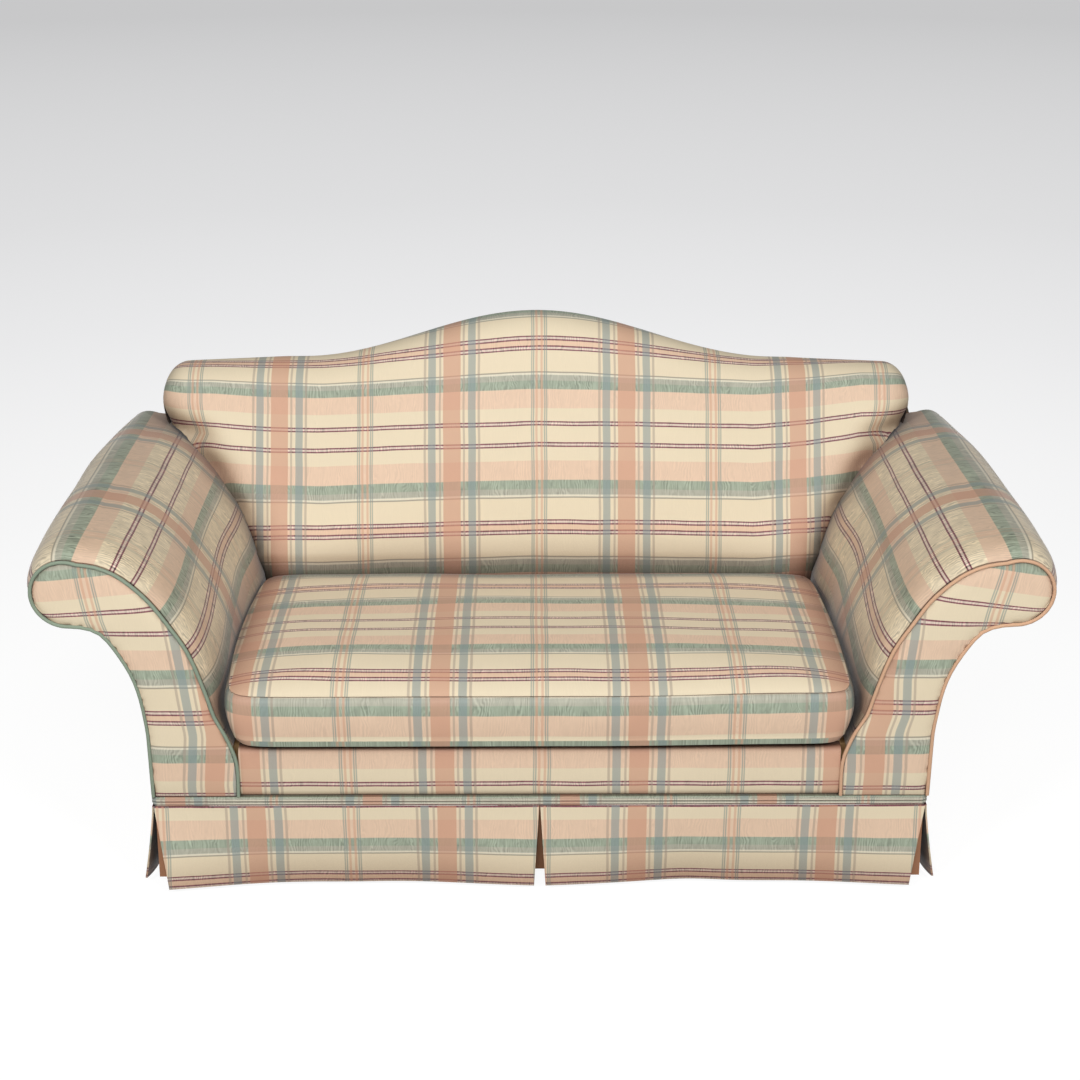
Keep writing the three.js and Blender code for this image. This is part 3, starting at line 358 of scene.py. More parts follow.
class Graph:
    """Small helper that adds shader nodes to a material or world and joins them."""

    def __init__(self, owner: Material | bpy.types.World) -> None:
        """Start on the nodes of a new material or world.

        Args:
            owner: The material or world.
        """
        owner.use_nodes = True
        self.owner = owner
        self.tree = owner.node_tree
        self.shader = self.tree.nodes.get("Principled BSDF")

    def node(self, kind: str, inputs: dict[int | str, object] | None = None, **settings: object
             ) -> bpy.types.ShaderNode:
        """Add a node.

        Args:
            kind: Type of the node without its common prefix.
            inputs: Value or joined socket for each input.
            settings: Properties of the node.

        Returns:
            The new node.
        """
        made = self.tree.nodes.new("ShaderNode" + kind)
        for key, value in settings.items():
            setattr(made, key, value)
        for key, value in (inputs or {}).items():
            self.feed(made, key, value)
        return made

    def feed(self, node: bpy.types.ShaderNode, key: int | str, value: object) -> None:
        """Join a socket to an input, or set the input to a value.

        Args:
            node: Node that has the input.
            key: Number or name of the input.
            value: Socket of another node, or the value.
        """
        if isinstance(value, Socket):
            self.tree.links.new(value, node.inputs[key])
        else:
            node.inputs[key].default_value = value

    def maths(self, operation: str, *values: object, use_clamp: bool = False) -> Socket:
        """Add a sum and give its result."""
        made = self.node("Math", dict(enumerate(values)), operation=operation, use_clamp=use_clamp)
        return made.outputs[0]

    def times(self, *values: object, use_clamp: bool = False) -> Socket:
        """Multiply two values."""
        return self.maths("MULTIPLY", *values, use_clamp=use_clamp)

    def plus(self, *values: object) -> Socket:
        """Add two values."""
        return self.maths("ADD", *values)

    def ribs(self, place: Socket, pitch: float) -> Socket:
        """Give even ribs across a coordinate."""
        return self.maths("SINE", self.times(place, TURN / pitch))

    def noise(self, place: Socket, scale: float, detail: float, twist: float = 0.0) -> Socket:
        """Add a noise and give its value."""
        inputs = {"Vector": place, "Scale": scale, "Detail": detail, "Distortion": twist}
        return self.node("TexNoise", inputs).outputs[0]

    def stretched(self, place: Socket, scale: tuple[float, float, float]) -> Socket:
        """Scale a place by three numbers."""
        return self.node("VectorMath", {0: place, 1: scale}, operation="MULTIPLY").outputs[0]

    def ramp(self, value: Socket, stops: Sequence[tuple[float, Colour]]) -> bpy.types.ShaderNode:
        """Add a colour ramp.

        Args:
            value: Socket that is looked up.
            stops: Places and colours in rising order.

        Returns:
            The ramp's node.
        """
        made = self.node("ValToRGB", {0: value})
        elements = made.color_ramp.elements
        for i, (place, shade) in enumerate(stops):
            stop = elements[i] if i < 2 else elements.new(place)
            stop.position = place
            stop.color = shade
        return made

    def mix(self, share: object, first: object, second: object, blend: str = "MIX") -> Socket:
        """Mix two colours and give the result."""
        inputs = {0: share, 6: first, 7: second}
        return self.node("Mix", inputs, data_type="RGBA", blend_type=blend).outputs[2]

    def cloth_place(self) -> Socket:
        """Give the place on the cloth in metres."""
        return self.node("UVMap", uv_map="Cloth").outputs[0]

    def object_place(self) -> Socket:
        """Give the place in the object's own coordinates."""
        return self.node("TexCoord").outputs["Object"]

    def parts(self, place: Socket) -> tuple[Socket, Socket]:
        """Split a place into its first two coordinates."""
        split = self.node("SeparateXYZ", {0: place})
        return split.outputs[0], split.outputs[1]

    def finish(self, shade: object, roughness: float, height: Socket, relief: float,
               strength: float, **constants: float) -> Material:
        """Wire the shader.

        Args:
            shade: Colour or socket of the base colour.
            roughness: Roughness of the shader.
            height: Socket that the relief follows.
            relief: Height of the relief in metres.
            strength: Strength of the relief.
            constants: Other shader inputs, with underscores for spaces.

        Returns:
            The finished material.
        """
        self.feed(self.shader, "Base Color", shade)
        self.feed(self.shader, "Roughness", roughness)
        for key, value in constants.items():
            self.feed(self.shader, key.replace("_", " ").title(), value)
        bump = self.node("Bump", {"Height": height, "Distance": relief, "Strength": strength})
        self.feed(self.shader, "Normal", bump.outputs[0])
        return self.owner


@dataclass(frozen=True)
class Stripe:
    """One stripe of the plaid, from one distance to another from the middle of its group."""

    start: float
    end: float
    shade: str
    cover: float  # how much of the stripe shows over the ground


@dataclass(frozen=True)
class PlaidCloth:
    """Watered plaid: weft bands across, and narrower warp groups over them."""

    warp_half: float = 0.1875
    weft_half: float = 0.195
    ground: str = "e1d2b5"
    warp: tuple[Stripe, ...] = (
        Stripe(0.0, 0.0188, "c79075", 0.68),
        Stripe(0.0236, 0.0280, "a39182", 0.55),
        Stripe(0.0352, 0.0512, "7d8f90", 0.63),
        Stripe(0.0556, 0.0606, "9c8b7e", 0.52),
        Stripe(0.1705, 0.1731, "7f8c86", 0.62),
        Stripe(0.1745, 0.1771, "7f8c86", 0.66),
        Stripe(0.1796, 0.1844, "cc977a", 0.52),
    )
    weft: tuple[Stripe, ...] = (
        Stripe(0.0171, 0.0199, "7c4650", 0.50),
        Stripe(0.0203, 0.0240, "d8c6b6", 0.25),
        Stripe(0.0243, 0.0271, "7c4650", 0.50),
        Stripe(0.0550, 0.0955, "dfc2a8", 0.06),
        Stripe(0.0960, 0.1140, "9aa491", 0.30),
        Stripe(0.1144, 0.1262, "acab9b", 0.22),
        Stripe(0.1266, 0.1305, "dcd5c0", 0.05),
        Stripe(0.1309, 0.1337, "a39b89", 0.0),
        Stripe(0.1792, 0.1820, "7c4650", 0.50),
        Stripe(0.1824, 0.1863, "d8c6b6", 0.25),
        Stripe(0.1867, 0.1895, "7c4650", 0.50),
        Stripe(0.1899, 0.1950, "dfc0a4", 0.05),
    )
    edge: float = 0.0004  # softness of a stripe's edge
    join: float = 0.0007  # stripes nearer than this touch
    thin: float = 0.005  # stripes narrower than this are thin
    thin_cover: float = 1.0
    ground_water: float = 0.013
    sheen: float = 0.12
    # Reach and red, green and blue powers of the painted shade that darkens the cloth in creases and nooks
    crease_shade_reach: float = 0.10
    crease_shade_powers: tuple[float, float, float] = (1.05, 1.25, 1.35)
    watering: float = 1.0  # how strong the watered marks are beside those of the back
    water_pitch: float = 0.0056
    thread_pitch: float = 0.0011
    rib_pitch: float = 0.0009
    drift: float = 0.0035  # how far the stripes stray from straight
    roughness: float = 0.62
    relief: float = 0.00012
    # Painted shade: colour that darkens the cloth from the turn on, standing for the duller sheen of the
    # turned ribbed cloth
    painted_shade_tint: Colour = (1.0, 1.0, 1.0, 1.0)
    turn: Pair = (-0.287, -0.215)  # where along the cloth the painted shade tint sets in

    def warp_stops(self) -> list[tuple[float, Colour]]:
        """Give the ramp stops of the warp groups, their cover as opacity.

        Returns:
            Places and colours in rising order.
        """
        stops: list[tuple[float, Colour]] = []
        for stripe in self.warp:
            bare = sheer(stripe.shade, 0.0)
            thin = stripe.end - stripe.start < self.thin
            full = sheer(stripe.shade, stripe.cover * (self.thin_cover if thin else 1.0))
            if stripe.start > 0:
                stops += [(stripe.start - self.edge, bare)]
            stops += [(stripe.start + self.edge if stripe.start > 0 else 0.0, full),
                      (stripe.end - self.edge, full), (stripe.end + self.edge, bare)]
        return [(place / self.warp_half, shade) for place, shade in stops]

    def weft_stops(self) -> list[tuple[float, Colour]]:
        """Give the ramp stops of the weft bands, with the strength of the watering as opacity.

        Returns:
            Places and colours in rising order.
        """
        ground = sheer(self.ground, self.ground_water)
        stops = [(0.0, ground)]
        end = 0.0
        for stripe in self.weft:
            full = sheer(stripe.shade, stripe.cover)
            if stripe.start - end > self.join:
                if end > 0:
                    stops += [(end + self.edge, ground)]
                stops += [(stripe.start - self.edge / 2, ground)]
            stops += [(stripe.start + self.edge / 2, full), (stripe.end - self.edge / 2, full)]
            end = stripe.end
        return [(place / self.weft_half, shade) for place, shade in stops]

    def build(self, name: str) -> Material:
        """Make the material.

        Args:
            name: Name of the material.

        Returns:
            The finished material.
        """
        g = Graph(bpy.data.materials.new(name))
        place = g.cloth_place()
        drift = g.times(g.maths("SUBTRACT", g.noise(place, 9.0, 1.0), 0.5), self.drift)
        u, v = g.parts(place)
        warp_place, weft_place = (
            g.maths("DIVIDE", g.maths("PINGPONG", g.plus(way, drift), half), half)
            for way, half in ((u, self.warp_half), (v, self.weft_half)))
        warp = g.ramp(warp_place, self.warp_stops())
        weft = g.ramp(weft_place, self.weft_stops())
        thread = g.ribs(u, self.thread_pitch)
        cover = g.times(warp.outputs[1], g.maths("MULTIPLY_ADD", thread, 0.10, 1.0))
        woven = g.mix(cover, weft.outputs[0], warp.outputs[0])
        wander = g.noise(g.stretched(place, (26.0, 13.0, 1.0)), 1.0, 3.0, 0.6)
        phase = g.maths("MULTIPLY_ADD", u, 1 / self.water_pitch, g.times(wander, 7.0))
        lines = g.maths("SINE", g.times(phase, TURN))
        patches = g.noise(g.stretched(place, (60.0, 20.0, 1.0)), 1.0, 2.0)
        patches = g.times(g.maths("SUBTRACT", patches, 0.38), 3.4, use_clamp=True)
        broad = g.maths("SUBTRACT", g.noise(g.stretched(place, (95.0, 30.0, 1.0)), 1.0, 3.0, 1.2), 0.5)
        water = g.plus(g.times(lines, patches), g.times(broad, 2.4))
        bare = g.times(weft.outputs[1], g.maths("MULTIPLY_ADD", warp.outputs[1], -1.3, 1.0))
        amount = g.times(g.times(water, bare), self.watering)
        tone = g.maths("MULTIPLY_ADD", g.maths("SUBTRACT", g.noise(place, 4.0, 2.0), 0.5), 0.05, 1.0)
        ribs = g.ribs(v, self.rib_pitch)
        light = g.plus(g.maths("MULTIPLY_ADD", ribs, 0.012, tone), amount)
        lit = g.node("VectorMath", {0: woven, 1: light}, operation="MULTIPLY").outputs[0]
        start, end = self.turn
        turned = g.node("MapRange", {0: u, 1: start, 2: end}, interpolation_type="SMOOTHSTEP")
        # Painted shade: past the turn the colour is multiplied by the tint, for the duller sheen of the
        # ribbed cloth turned over the arms
        shade = g.mix(turned.outputs[0], lit, g.mix(1.0, lit, self.painted_shade_tint, "MULTIPLY"))
        # Painted shade: ambient occlusion darkens the cloth's colour in creases, nooks and corners, blue and
        # green a little more than red
        nook = g.node("AmbientOcclusion", {"Distance": self.crease_shade_reach}, samples=8).outputs["AO"]
        powers = {i: g.maths("POWER", nook, depth) for i, depth in enumerate(self.crease_shade_powers)}
        wear_and_crease_shade = g.node("CombineXYZ", powers).outputs[0]
        shade = g.node("VectorMath", {0: shade, 1: wear_and_crease_shade}, operation="MULTIPLY").outputs[0]
        weave = g.plus(g.times(ribs, 0.5), g.times(thread, 0.25))
        height = g.plus(weave, g.times(g.noise(place, 900.0, 1.0), 0.6))
        return g.finish(shade, self.roughness, height, self.relief, 0.35, sheen_weight=self.sheen,
                        sheen_roughness=0.4)


@dataclass(frozen=True)
class PlainCloth:
    """Cloth of one colour with a visible weave and soft unevenness."""

    shade: str
    dark: str
    pitch: float = 0.0010
    roughness: float = 0.8
    sheen: float = 0.1
    relief: float = 0.00015

    def build(self, name: str) -> Material:
        """Make the material.

        Args:
            name: Name of the material.

        Returns:
            The finished material.
        """
        g = Graph(bpy.data.materials.new(name))
        place = g.cloth_place()
        u, v = g.parts(place)
        weave = g.times(g.ribs(u, self.pitch), g.ribs(v, self.pitch))
        patches = g.noise(place, 26.0, 3.0)
        share = g.plus(g.times(weave, 0.14), g.times(patches, 0.5))
        shade = g.mix(share, colour(self.shade), colour(self.dark))
        height = g.plus(weave, g.noise(place, 600.0, 1.0))
        return g.finish(shade, self.roughness, height, self.relief, 0.5, sheen_weight=self.sheen)


@dataclass(frozen=True)
class Foam:
    """Open-celled cushion foam."""

    light: str = "eee3c2"
    dark: str = "d9c99b"

    def build(self, name: str) -> Material:
        """Make the material with fine cells.

        Args:
            name: Name of the material.

        Returns:
            The finished material.
        """
        g = Graph(bpy.data.materials.new(name))
        place = g.object_place()
        cells = g.node("TexVoronoi", {"Vector": place, "Scale": 420.0}).outputs[0]
        shade = g.mix(g.times(g.noise(place, 9.0, 3.0), cells), colour(self.light), colour(self.dark))
        return g.finish(shade, 0.95, cells, 0.0006, 0.6, subsurface_weight=0.05)


@dataclass(frozen=True)
class DustCloth:
    """Black bonded cloth under the frame."""

    shade: str = "26241f"
    fibre: str = "3b3832"

    def build(self, name: str) -> Material:
        """Make the material with its pressed dots and fibres.

        Args:
            name: Name of the material.

        Returns:
            The finished material.
        """
        g = Graph(bpy.data.materials.new(name))
        place = g.object_place()
        fibres = g.noise(g.stretched(place, (900.0, 300.0, 1.0)), 1.0, 3.0, 1.5)
        dots = g.node("TexVoronoi", {"Vector": place, "Scale": 700.0}).outputs[0]
        shade = g.mix(fibres, colour(self.shade), colour(self.fibre))
        return g.finish(shade, 0.95, g.plus(fibres, dots), 0.0002, 0.5)


@dataclass(frozen=True)
class Hardwood:
    """Sawn hardwood of the frame, with its grain along one axis."""

    light: str = "c79f6d"
    dark: str = "9a7043"

    def build(self, name: str, along: str) -> Material:
        """Make the material.

        Args:
            name: Name of the material.
            along: Axis that the grain follows.

        Returns:
            The finished material.
        """
        g = Graph(bpy.data.materials.new(name))
        fine, coarse = 38.0, 2.2
        scale = tuple(coarse if axis == along else fine for axis in "xyz")
        place = g.stretched(g.object_place(), scale)
        rings = g.node("TexWave", {"Vector": place, "Scale": 0.55, "Distortion": 5.0, "Detail": 3.0},
                       bands_direction="DIAGONAL").outputs[1]
        pores = g.noise(g.stretched(place, (7.0, 7.0, 7.0)), 1.0, 4.0)
        share = g.plus(g.times(rings, 0.6), g.times(pores, 0.4))
        shade = g.mix(share, colour(self.light), colour(self.dark))
        return g.finish(shade, 0.68, pores, 0.0004, 0.45)


@dataclass(frozen=True)
class Metal:
    """Drawn or cast metal with fine marks."""

    shade: str
    wear_and_crease_shade: str
    roughness: float

    def build(self, name: str) -> Material:
        """Make the material.

        Args:
            name: Name of the material.

        Returns:
            The finished material.
        """
        g = Graph(bpy.data.materials.new(name))
        place = g.object_place()
        marks = g.noise(g.stretched(place, (60.0, 60.0, 420.0)), 1.0, 4.0)
        shade = g.mix(marks, colour(self.shade), colour(self.wear_and_crease_shade))
        return g.finish(shade, self.roughness, marks, 0.0001, 0.4, metallic=1.0)


@dataclass(frozen=True)
class Moulding:
    """Moulded nylon of the glides."""

    shade: str = "3a3733"
    scuffed: str = "5b5750"

    def build(self, name: str) -> Material:
        """Make the material with its scuffs.

        Args:
            name: Name of the material.

        Returns:
            The finished material.
        """
        g = Graph(bpy.data.materials.new(name))
        place = g.object_place()
        scuffs = g.noise(place, 160.0, 5.0)
        shade = g.mix(g.maths("POWER", scuffs, 3.0), colour(self.shade), colour(self.scuffed))
        return g.finish(shade, 0.42, scuffs, 0.0001, 0.3)


class Finishes:
    """Every finish of the sofa, made once."""

    def __init__(self) -> None:
        """Make the materials."""
        self.plaid = PlaidCloth().build("plaid")
        # The watered plaid of the arms carries a painted shade tint that darkens it from about 7 cm behind
        # the facing back
        self.watered_plaid = PlaidCloth(ground_water=0.17, thin_cover=0.4, watering=2.0, sheen=0.5,
                                        painted_shade_tint=(0.86, 0.83, 0.78, 1.0)).build("watered_plaid")
        self.green_welt = PlainCloth("8d9b87", "6f7f70", 0.0012).build("green_cord")
        self.peach_welt = PlainCloth("d6ad8d", "bd8f70", 0.0012).build("peach_cord")
        self.lining = PlainCloth("b4805f", "8f5c40", 0.0009, 0.85).build("lining")
        self.decking = PlainCloth("dccfb6", "c9b99c", 0.0016, 0.9).build("decking")
        self.zipper_tape = PlainCloth("d9c9ab", "c2b08f", 0.0008, 0.8).build("zipper_tape")
        self.foam = Foam().build("foam")
        self.dust_cloth = DustCloth().build("dust_cloth")
        self.hardwood = {axis: Hardwood().build("hardwood_" + axis, axis) for axis in "xyz"}
        self.steel = Metal("8d9196", "6d7076", 0.36).build("spring_steel")
        self.zipper_metal = Metal("b89a5c", "8e7440", 0.34).build("zipper_metal")
        self.glide = Moulding().build("glide_nylon")


@dataclass(frozen=True)
class Piece:
    """What one object of the scene is; it stands for the CAD node of the same name."""

    name: str
    slot: Slot
    body: str = "frame"
    fill: float | None = None

    def declare(self, made: Thing, finish: Material) -> None:
        """Give an object its finish and its place in the frame.

        Args:
            made: Object of the piece.
            finish: Material of the piece.
        """
        made.data.materials.clear()
        made.data.materials.append(finish)
        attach(made, self.body)
        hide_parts(self.name)
        log.info("%s: %d faces, on %s", self.name, len(made.data.polygons), self.body)


# Shapes of the sofa


@dataclass(frozen=True)
class Sizes:
    """Main sizes that several pieces share."""

    base_half: float = 0.736
    base_depth: float = 0.834
    skin: float = 0.010
    gap: float = 0.0003
    rail_bottom: float = 0.178
    band_top: float = 0.197
    deck_front: float = 0.312
    rake: float = math.radians(1.5)
    seat_half: float = 0.570
    frame_front: float = 0.0103
    frame_rear: float = 0.8237
    foot_depth: float = 0.5647

    @property
    def skin_bottom(self) -> float:
        """Underside of the covers above the band."""
        return self.band_top + self.gap

    def deck_height(self, y: float) -> float:
        """Give the height of the seat deck at a depth."""
        return self.deck_front - y * math.tan(self.rake)


@dataclass(frozen=True)
class ArmShape:
    """Outline of a rolled arm seen from the front, on the right side."""

    sizes: Sizes
    roll_radius: float = 0.066
    roll_x: float = 0.861
    roll_z: float = 0.618
    roll_start: float = math.radians(112)
    roll_finish: float = math.radians(-92)
    padding: float = 0.020
    boxing: float = 0.0945
    inside_steps: int = 34
    roll_steps: int = 36
    outside_steps: int = 22
    inside_shares: tuple[Pair, ...] = (
        (0, -0.107), (0.069, 0.071), (0.131, 0.278), (0.244, 0.538), (0.426, 0.742), (0.625, 0.901),
        (0.775, 0.967))
    outside_shares: tuple[Pair, ...] = (
        (0.792, 0.993), (0.568, 0.961), (0.36, 0.862), (0.128, 0.69), (0.016, 0.499), (0, 0.268), (0, 0))

    def on_roll(self, angle: float) -> Pair:
        """Give a point of the roll at an angle from straight out."""
        return (self.roll_x + self.roll_radius * math.cos(angle),
                self.roll_z + self.roll_radius * math.sin(angle))

    def outline(self) -> tuple[Array, Array]:
        """Run the outline from the inside foot over the roll to the outside foot.

        Returns:
            Its points, and the outward direction at each.
        """
        s = self.sizes
        in_run = self.roll_x - s.seat_half
        in_rise = self.roll_z + self.roll_radius - s.deck_front
        out_run = self.roll_x - s.base_half
        out_rise = self.roll_z - self.roll_radius - s.skin_bottom
        inside = [(s.seat_half, s.skin_bottom)]
        inside += [(s.seat_half + x * in_run, s.deck_front + z * in_rise) for x, z in self.inside_shares]
        outside = [(s.base_half + x * out_run, s.skin_bottom + z * out_rise)
                   for x, z in self.outside_shares]
        up = spline([*inside, self.on_roll(self.roll_start)], self.inside_steps)
        down = spline([self.on_roll(self.roll_finish), *outside], self.outside_steps)
        turns = np.linspace(self.roll_start, self.roll_finish, self.roll_steps + 1)[1:-1]
        line = np.vstack([up, [self.on_roll(a) for a in turns], down])
        along = np.gradient(line, axis=0)
        along /= np.linalg.norm(along, axis=1)[:, None]
        return line, np.column_stack([-along[:, 1], along[:, 0]])

    @property
    def roll_end(self) -> int:
        """Index of the last point on the roll."""
        return self.inside_steps + self.roll_steps

    def padding_shares(self, line: Array) -> Array:
        """Say how much of the extra fill lies at each point of the outline.

        Args:
            line: The whole outline.

        Returns:
            Share of the fill for each point.
        """
        index = np.arange(len(line))
        deck = self.sizes.deck_front
        rising = smooth_step(line[:, 1], deck, deck + self.boxing)
        falling = 1 - smooth_step(index, self.roll_end - self.roll_steps / 3, self.roll_end + 1)
        return np.where(index <= self.inside_steps, rising, falling)

    def fullness(self, share: Array | float, trim: Array | float = 0.5) -> Array | float:
        """Say how full the arm is at a share of its length.

        Args:
            share: Nothing at the facing and one at the rear.
            trim: How much the rear end is rounded off.

        Returns:
            Share of the padding, negative where the rear end is rounded off.
        """
        rising = 1 - np.exp(-np.asarray(share) / 0.042)
        rear = np.clip((np.asarray(share) - 0.55) / 0.45, 0, 1) ** 2.4
        return rising - trim * rear

    def swelling(self, along: Array, line: Array) -> Array:
        """Give the height of the fill over the outline.

        Args:
            along: Shares of the arm's length.
            line: The whole outline.

        Returns:
            One row for each share, one column for each point.
        """
        crest = self.inside_steps + self.roll_steps * 0.5
        outer = smooth_step(np.arange(len(line)), self.inside_steps + 3, crest)
        full = self.fullness(along[:, None], 0.7 + 1.55 * outer)
        return full * self.padding_shares(line) * self.padding

    def distance(self, x: Array, z: Array, full: Array) -> Array:
        """Give the distance from the padded arm's inner and top face, negative inside the arm.

        Args:
            x: Distance from the sofa's middle.
            z: Height.
            full: How full the arm is there.

        Returns:
            Distance for each point.
        """
        line, out = self.outline()
        padded = line + out * (self.padding_shares(line) * self.padding)[:, None] * float(np.mean(full))
        face = padded[:self.roll_end - self.roll_steps // 3]
        step = np.stack([x[..., None] - face[:, 0], z[..., None] - face[:, 1]], axis=-1)
        reach = np.linalg.norm(step, axis=-1)
        nearest = np.argmin(reach, axis=-1)
        near_out = out[nearest]
        near_step = np.take_along_axis(step, nearest[..., None, None], axis=-2)[..., 0, :]
        side = np.sign(np.sum(near_step * near_out, axis=-1))
        return side * np.min(reach, axis=-1)


@dataclass
class Arm:
    """One rolled arm: stuffed pad, front facing with its cord, and outside panel."""

    side: Side
    shape: ArmShape
    finishes: Finishes
    shell_depth: float = 0.0295
    panel_depth: float = 0.0095
    stations: int = 72
    stripe_depth: float = 0.287  # distance behind the facing at which a warp group goes round the arm
    stripe_run: float = 0.402  # distance along the outline, from the seat, of the middle of a weft group
    stripe_squeeze: float = 0.22
    warp_line: tuple[Pair, ...] = ((0.224, 0.6157), (0.373, 0.6005), (0.538, 0.618), (0.569, 0.6262),
                                   (0.665, 0.6388))  # heights, and where the warp group lies there
    weft_line: tuple[Pair, ...] = ((0.1796, 0.390), (0.3662, 0.195), (0.5628, 0.0), (0.700, -0.137))
    weft_tilt: float = 0.09
    push: float = 0.0
    open_out: float = 0.010
    puff: float = 0.0055

    def mirrored(self, points: Array) -> Array:
        """Put points of a right arm on this arm's side, its roll and its inside pushed out a little.

        Args:
            points: Points of a right arm.

        Returns:
            The points of this arm.
        """
        made = points.copy()
        x, y, z = (points[..., k] for k in range(3))
        share = smooth_step(x, 0.62, 0.93) * (1 - smooth_step(y, 0.15, 0.62))
        low = smooth_step(z, 0.32, 0.38) * (1 - smooth_step(z, 0.53, 0.64))
        inner = low * (1 - smooth_step(x, 0.66, 0.77)) * (1 - smooth_step(y, 0.40, 0.56))
        made[..., 0] += self.push * share + self.open_out * inner
        return made * np.array([self.side.value, 1.0, 1.0])

    def front_cloth(self, x: Array, z: Array) -> Array:
        """Lay the cloth upright on the facing, its stripes leaning as they were sewn.

        Args:
            x: Distances from the sofa's middle.
            z: Heights.

        Returns:
            Cloth coordinates.
        """
        heights, middles = np.array(self.warp_line).T
        levels, places = np.array(self.weft_line).T
        tilt = self.weft_tilt * smooth_step(z, 0.53, 0.61) * (x - 0.76)
        return joined(x - np.interp(z, heights, middles), np.interp(z + tilt, levels, places))

    def sheet(self, line: Array, depth: Array, offset: Array | float, floor: float) -> Array:
        """Lay a stretch of the outline out at each depth, moved outwards and kept above a floor."""
        x, z, out_x, out_z = line.T
        return joined(x + out_x * offset, depth[:, None], np.maximum(z + out_z * offset, floor))

    def pad(self) -> None:
        """Make the stuffed cover from the seat up over the roll."""
        sizes = self.shape.sizes
        line, out = self.shape.outline()
        share = self.shape.padding_shares(line)
        foot = sizes.deck_height(sizes.frame_front) - 0.018
        first = int(np.argmax(line[:, 1] > foot))
        picked = slice(first, self.shape.roll_end + 1)
        along = np.linspace(0, 1, self.stations) ** 1.5
        move = self.shape.swelling(along, line)[:, picked]
        line, out, share = line[picked], out[picked], share[picked]
        run = run_along(line)
        length = sizes.frame_rear - sizes.frame_front
        depth = sizes.frame_front + along * length
        full = self.shape.fullness(along)
        move = move + self.gathers(along * length, run)
        stretch = np.hstack([line, out])
        outer = self.sheet(stretch, depth, move, foot)
        inner = self.sheet(stretch, depth, -self.shell_depth, foot)
        sway = unevenness(outer, 0.23, 1.3 + self.side.value) * 0.0016 * full[:, None] * share
        outer[..., 0] += out[None, :, 0] * sway
        outer[..., 2] += out[None, :, 1] * sway
        weft = run - self.stripe_run
        squeeze = 1 + self.stripe_squeeze * smooth_step(depth, 0, 0.5)[:, None]
        cloth = joined(depth[:, None] - self.stripe_depth, weft * np.where(weft < 0, squeeze, 1.0))
        name = self.side.word + "_arm_pad"
        made = make_object(name + "_cover", shell(self.mirrored(outer), self.mirrored(inner), cloth))
        Piece(name, Slot.PLAID, fill=0.85).declare(made, self.finishes.watered_plaid)

    def gathers(self, depth: Array, run: Array) -> Array:
        """Give the small tucks where the cover is pulled to the facing round the roll.

        Args:
            depth: Distances behind the facing.
            run: Distances along the outline.

        Returns:
            Move for each station and point.
        """
        start, end = run[self.shape.inside_steps - 12], run[-1]
        on_roll = smooth_step(run, start, start + 0.06) * (1 - smooth_step(run, end - 0.05, end))
        folds = np.sin(run * TURN / 0.021 + 1.8 * np.sin(run * TURN / 0.13))
        fade = np.exp(-depth / 0.022) * (1 - np.exp(-depth / 0.003))
        return -0.0016 * fade[:, None] * (np.maximum(folds, 0.0) * on_roll)

    def facing(self) -> None:
        """Make the shaped front panel."""
        sizes = self.shape.sizes
        inset = 0.0060
        line, out = self.shape.outline()
        edge = line - out * inset
        edge[0, 1] = edge[-1, 1] = sizes.skin_bottom
        rungs, columns = 64, 25
        run = run_along(edge)
        tip = self.shape.inside_steps + int(self.shape.roll_steps * 0.56)
        shares = np.linspace(0, 1, rungs) ** 0.8
        left_run = shares * run[tip] * 0.9985
        right_run = run[-1] - shares * (run[-1] - run[tip]) * 0.9985
        left, right = points_at(edge, left_run), points_at(edge, right_run)
        across = (1 - np.cos(np.linspace(0, math.pi, columns))) / 2
        flat = left[:, None] * (1 - across[None, :, None]) + right[:, None] * across[None, :, None]
        gap = np.linalg.norm(flat[:, :, None] - edge[None, None], axis=-1).min(axis=-1)
        floor_gap = flat[..., 1] - sizes.skin_bottom
        rise = 1 - np.exp(-np.minimum(gap, floor_gap + 0.002) / 0.007)
        front = joined(flat[..., 0], 0.004 - self.puff * rise, flat[..., 1])
        fold = np.exp(-((flat[..., 1] - sizes.skin_bottom - 0.016 - 0.010 * across) / 0.0035) ** 2)
        front[..., 1] += 0.0012 * fold * rise
        front[..., 1] -= 0.0010 * unevenness(front, 0.17, 2.2 * self.side.value) * rise
        rear = front.copy()
        rear[..., 1] = sizes.skin
        cloth = self.front_cloth(flat[..., 0], flat[..., 1])
        name = self.side.word + "_arm_facing"
        made = make_object(name + "_panel", shell(self.mirrored(front), self.mirrored(rear), cloth))
        Piece(name, Slot.PLAID, fill=0.4).declare(made, self.finishes.plaid)

    def welt(self) -> None:
        """Make the cord round the facing."""
        radius, inset, sides = 0.0034, 0.0022, 14
        line, out = self.shape.outline()
        centre = line - out * inset
        run = run_along(centre)
        turns = np.linspace(0, TURN, sides, endpoint=False)
        swell = 1 + 0.035 * np.sin(run * TURN / 0.017) + 0.02 * np.sin(run * TURN / 0.006)
        thick = radius * swell[:, None]
        x, z = (centre[:, None, k] + out[:, None, k] * thick * np.cos(turns) for k in range(2))
        rings = joined(x, inset - 0.0006 + thick * np.sin(turns), z)
        cloth = joined(run[:, None], np.linspace(0, TURN * radius, sides + 1))
        name = self.side.word + "_facing_welt"
        green = self.side is Side.LEFT
        slot = Slot.GREEN_WELT if green else Slot.PEACH_WELT
        finish = self.finishes.green_welt if green else self.finishes.peach_welt
        made = make_object(name + "_cord", tube(self.mirrored(rings), cloth), CORD_CREASE)
        Piece(name, slot).declare(made, finish)

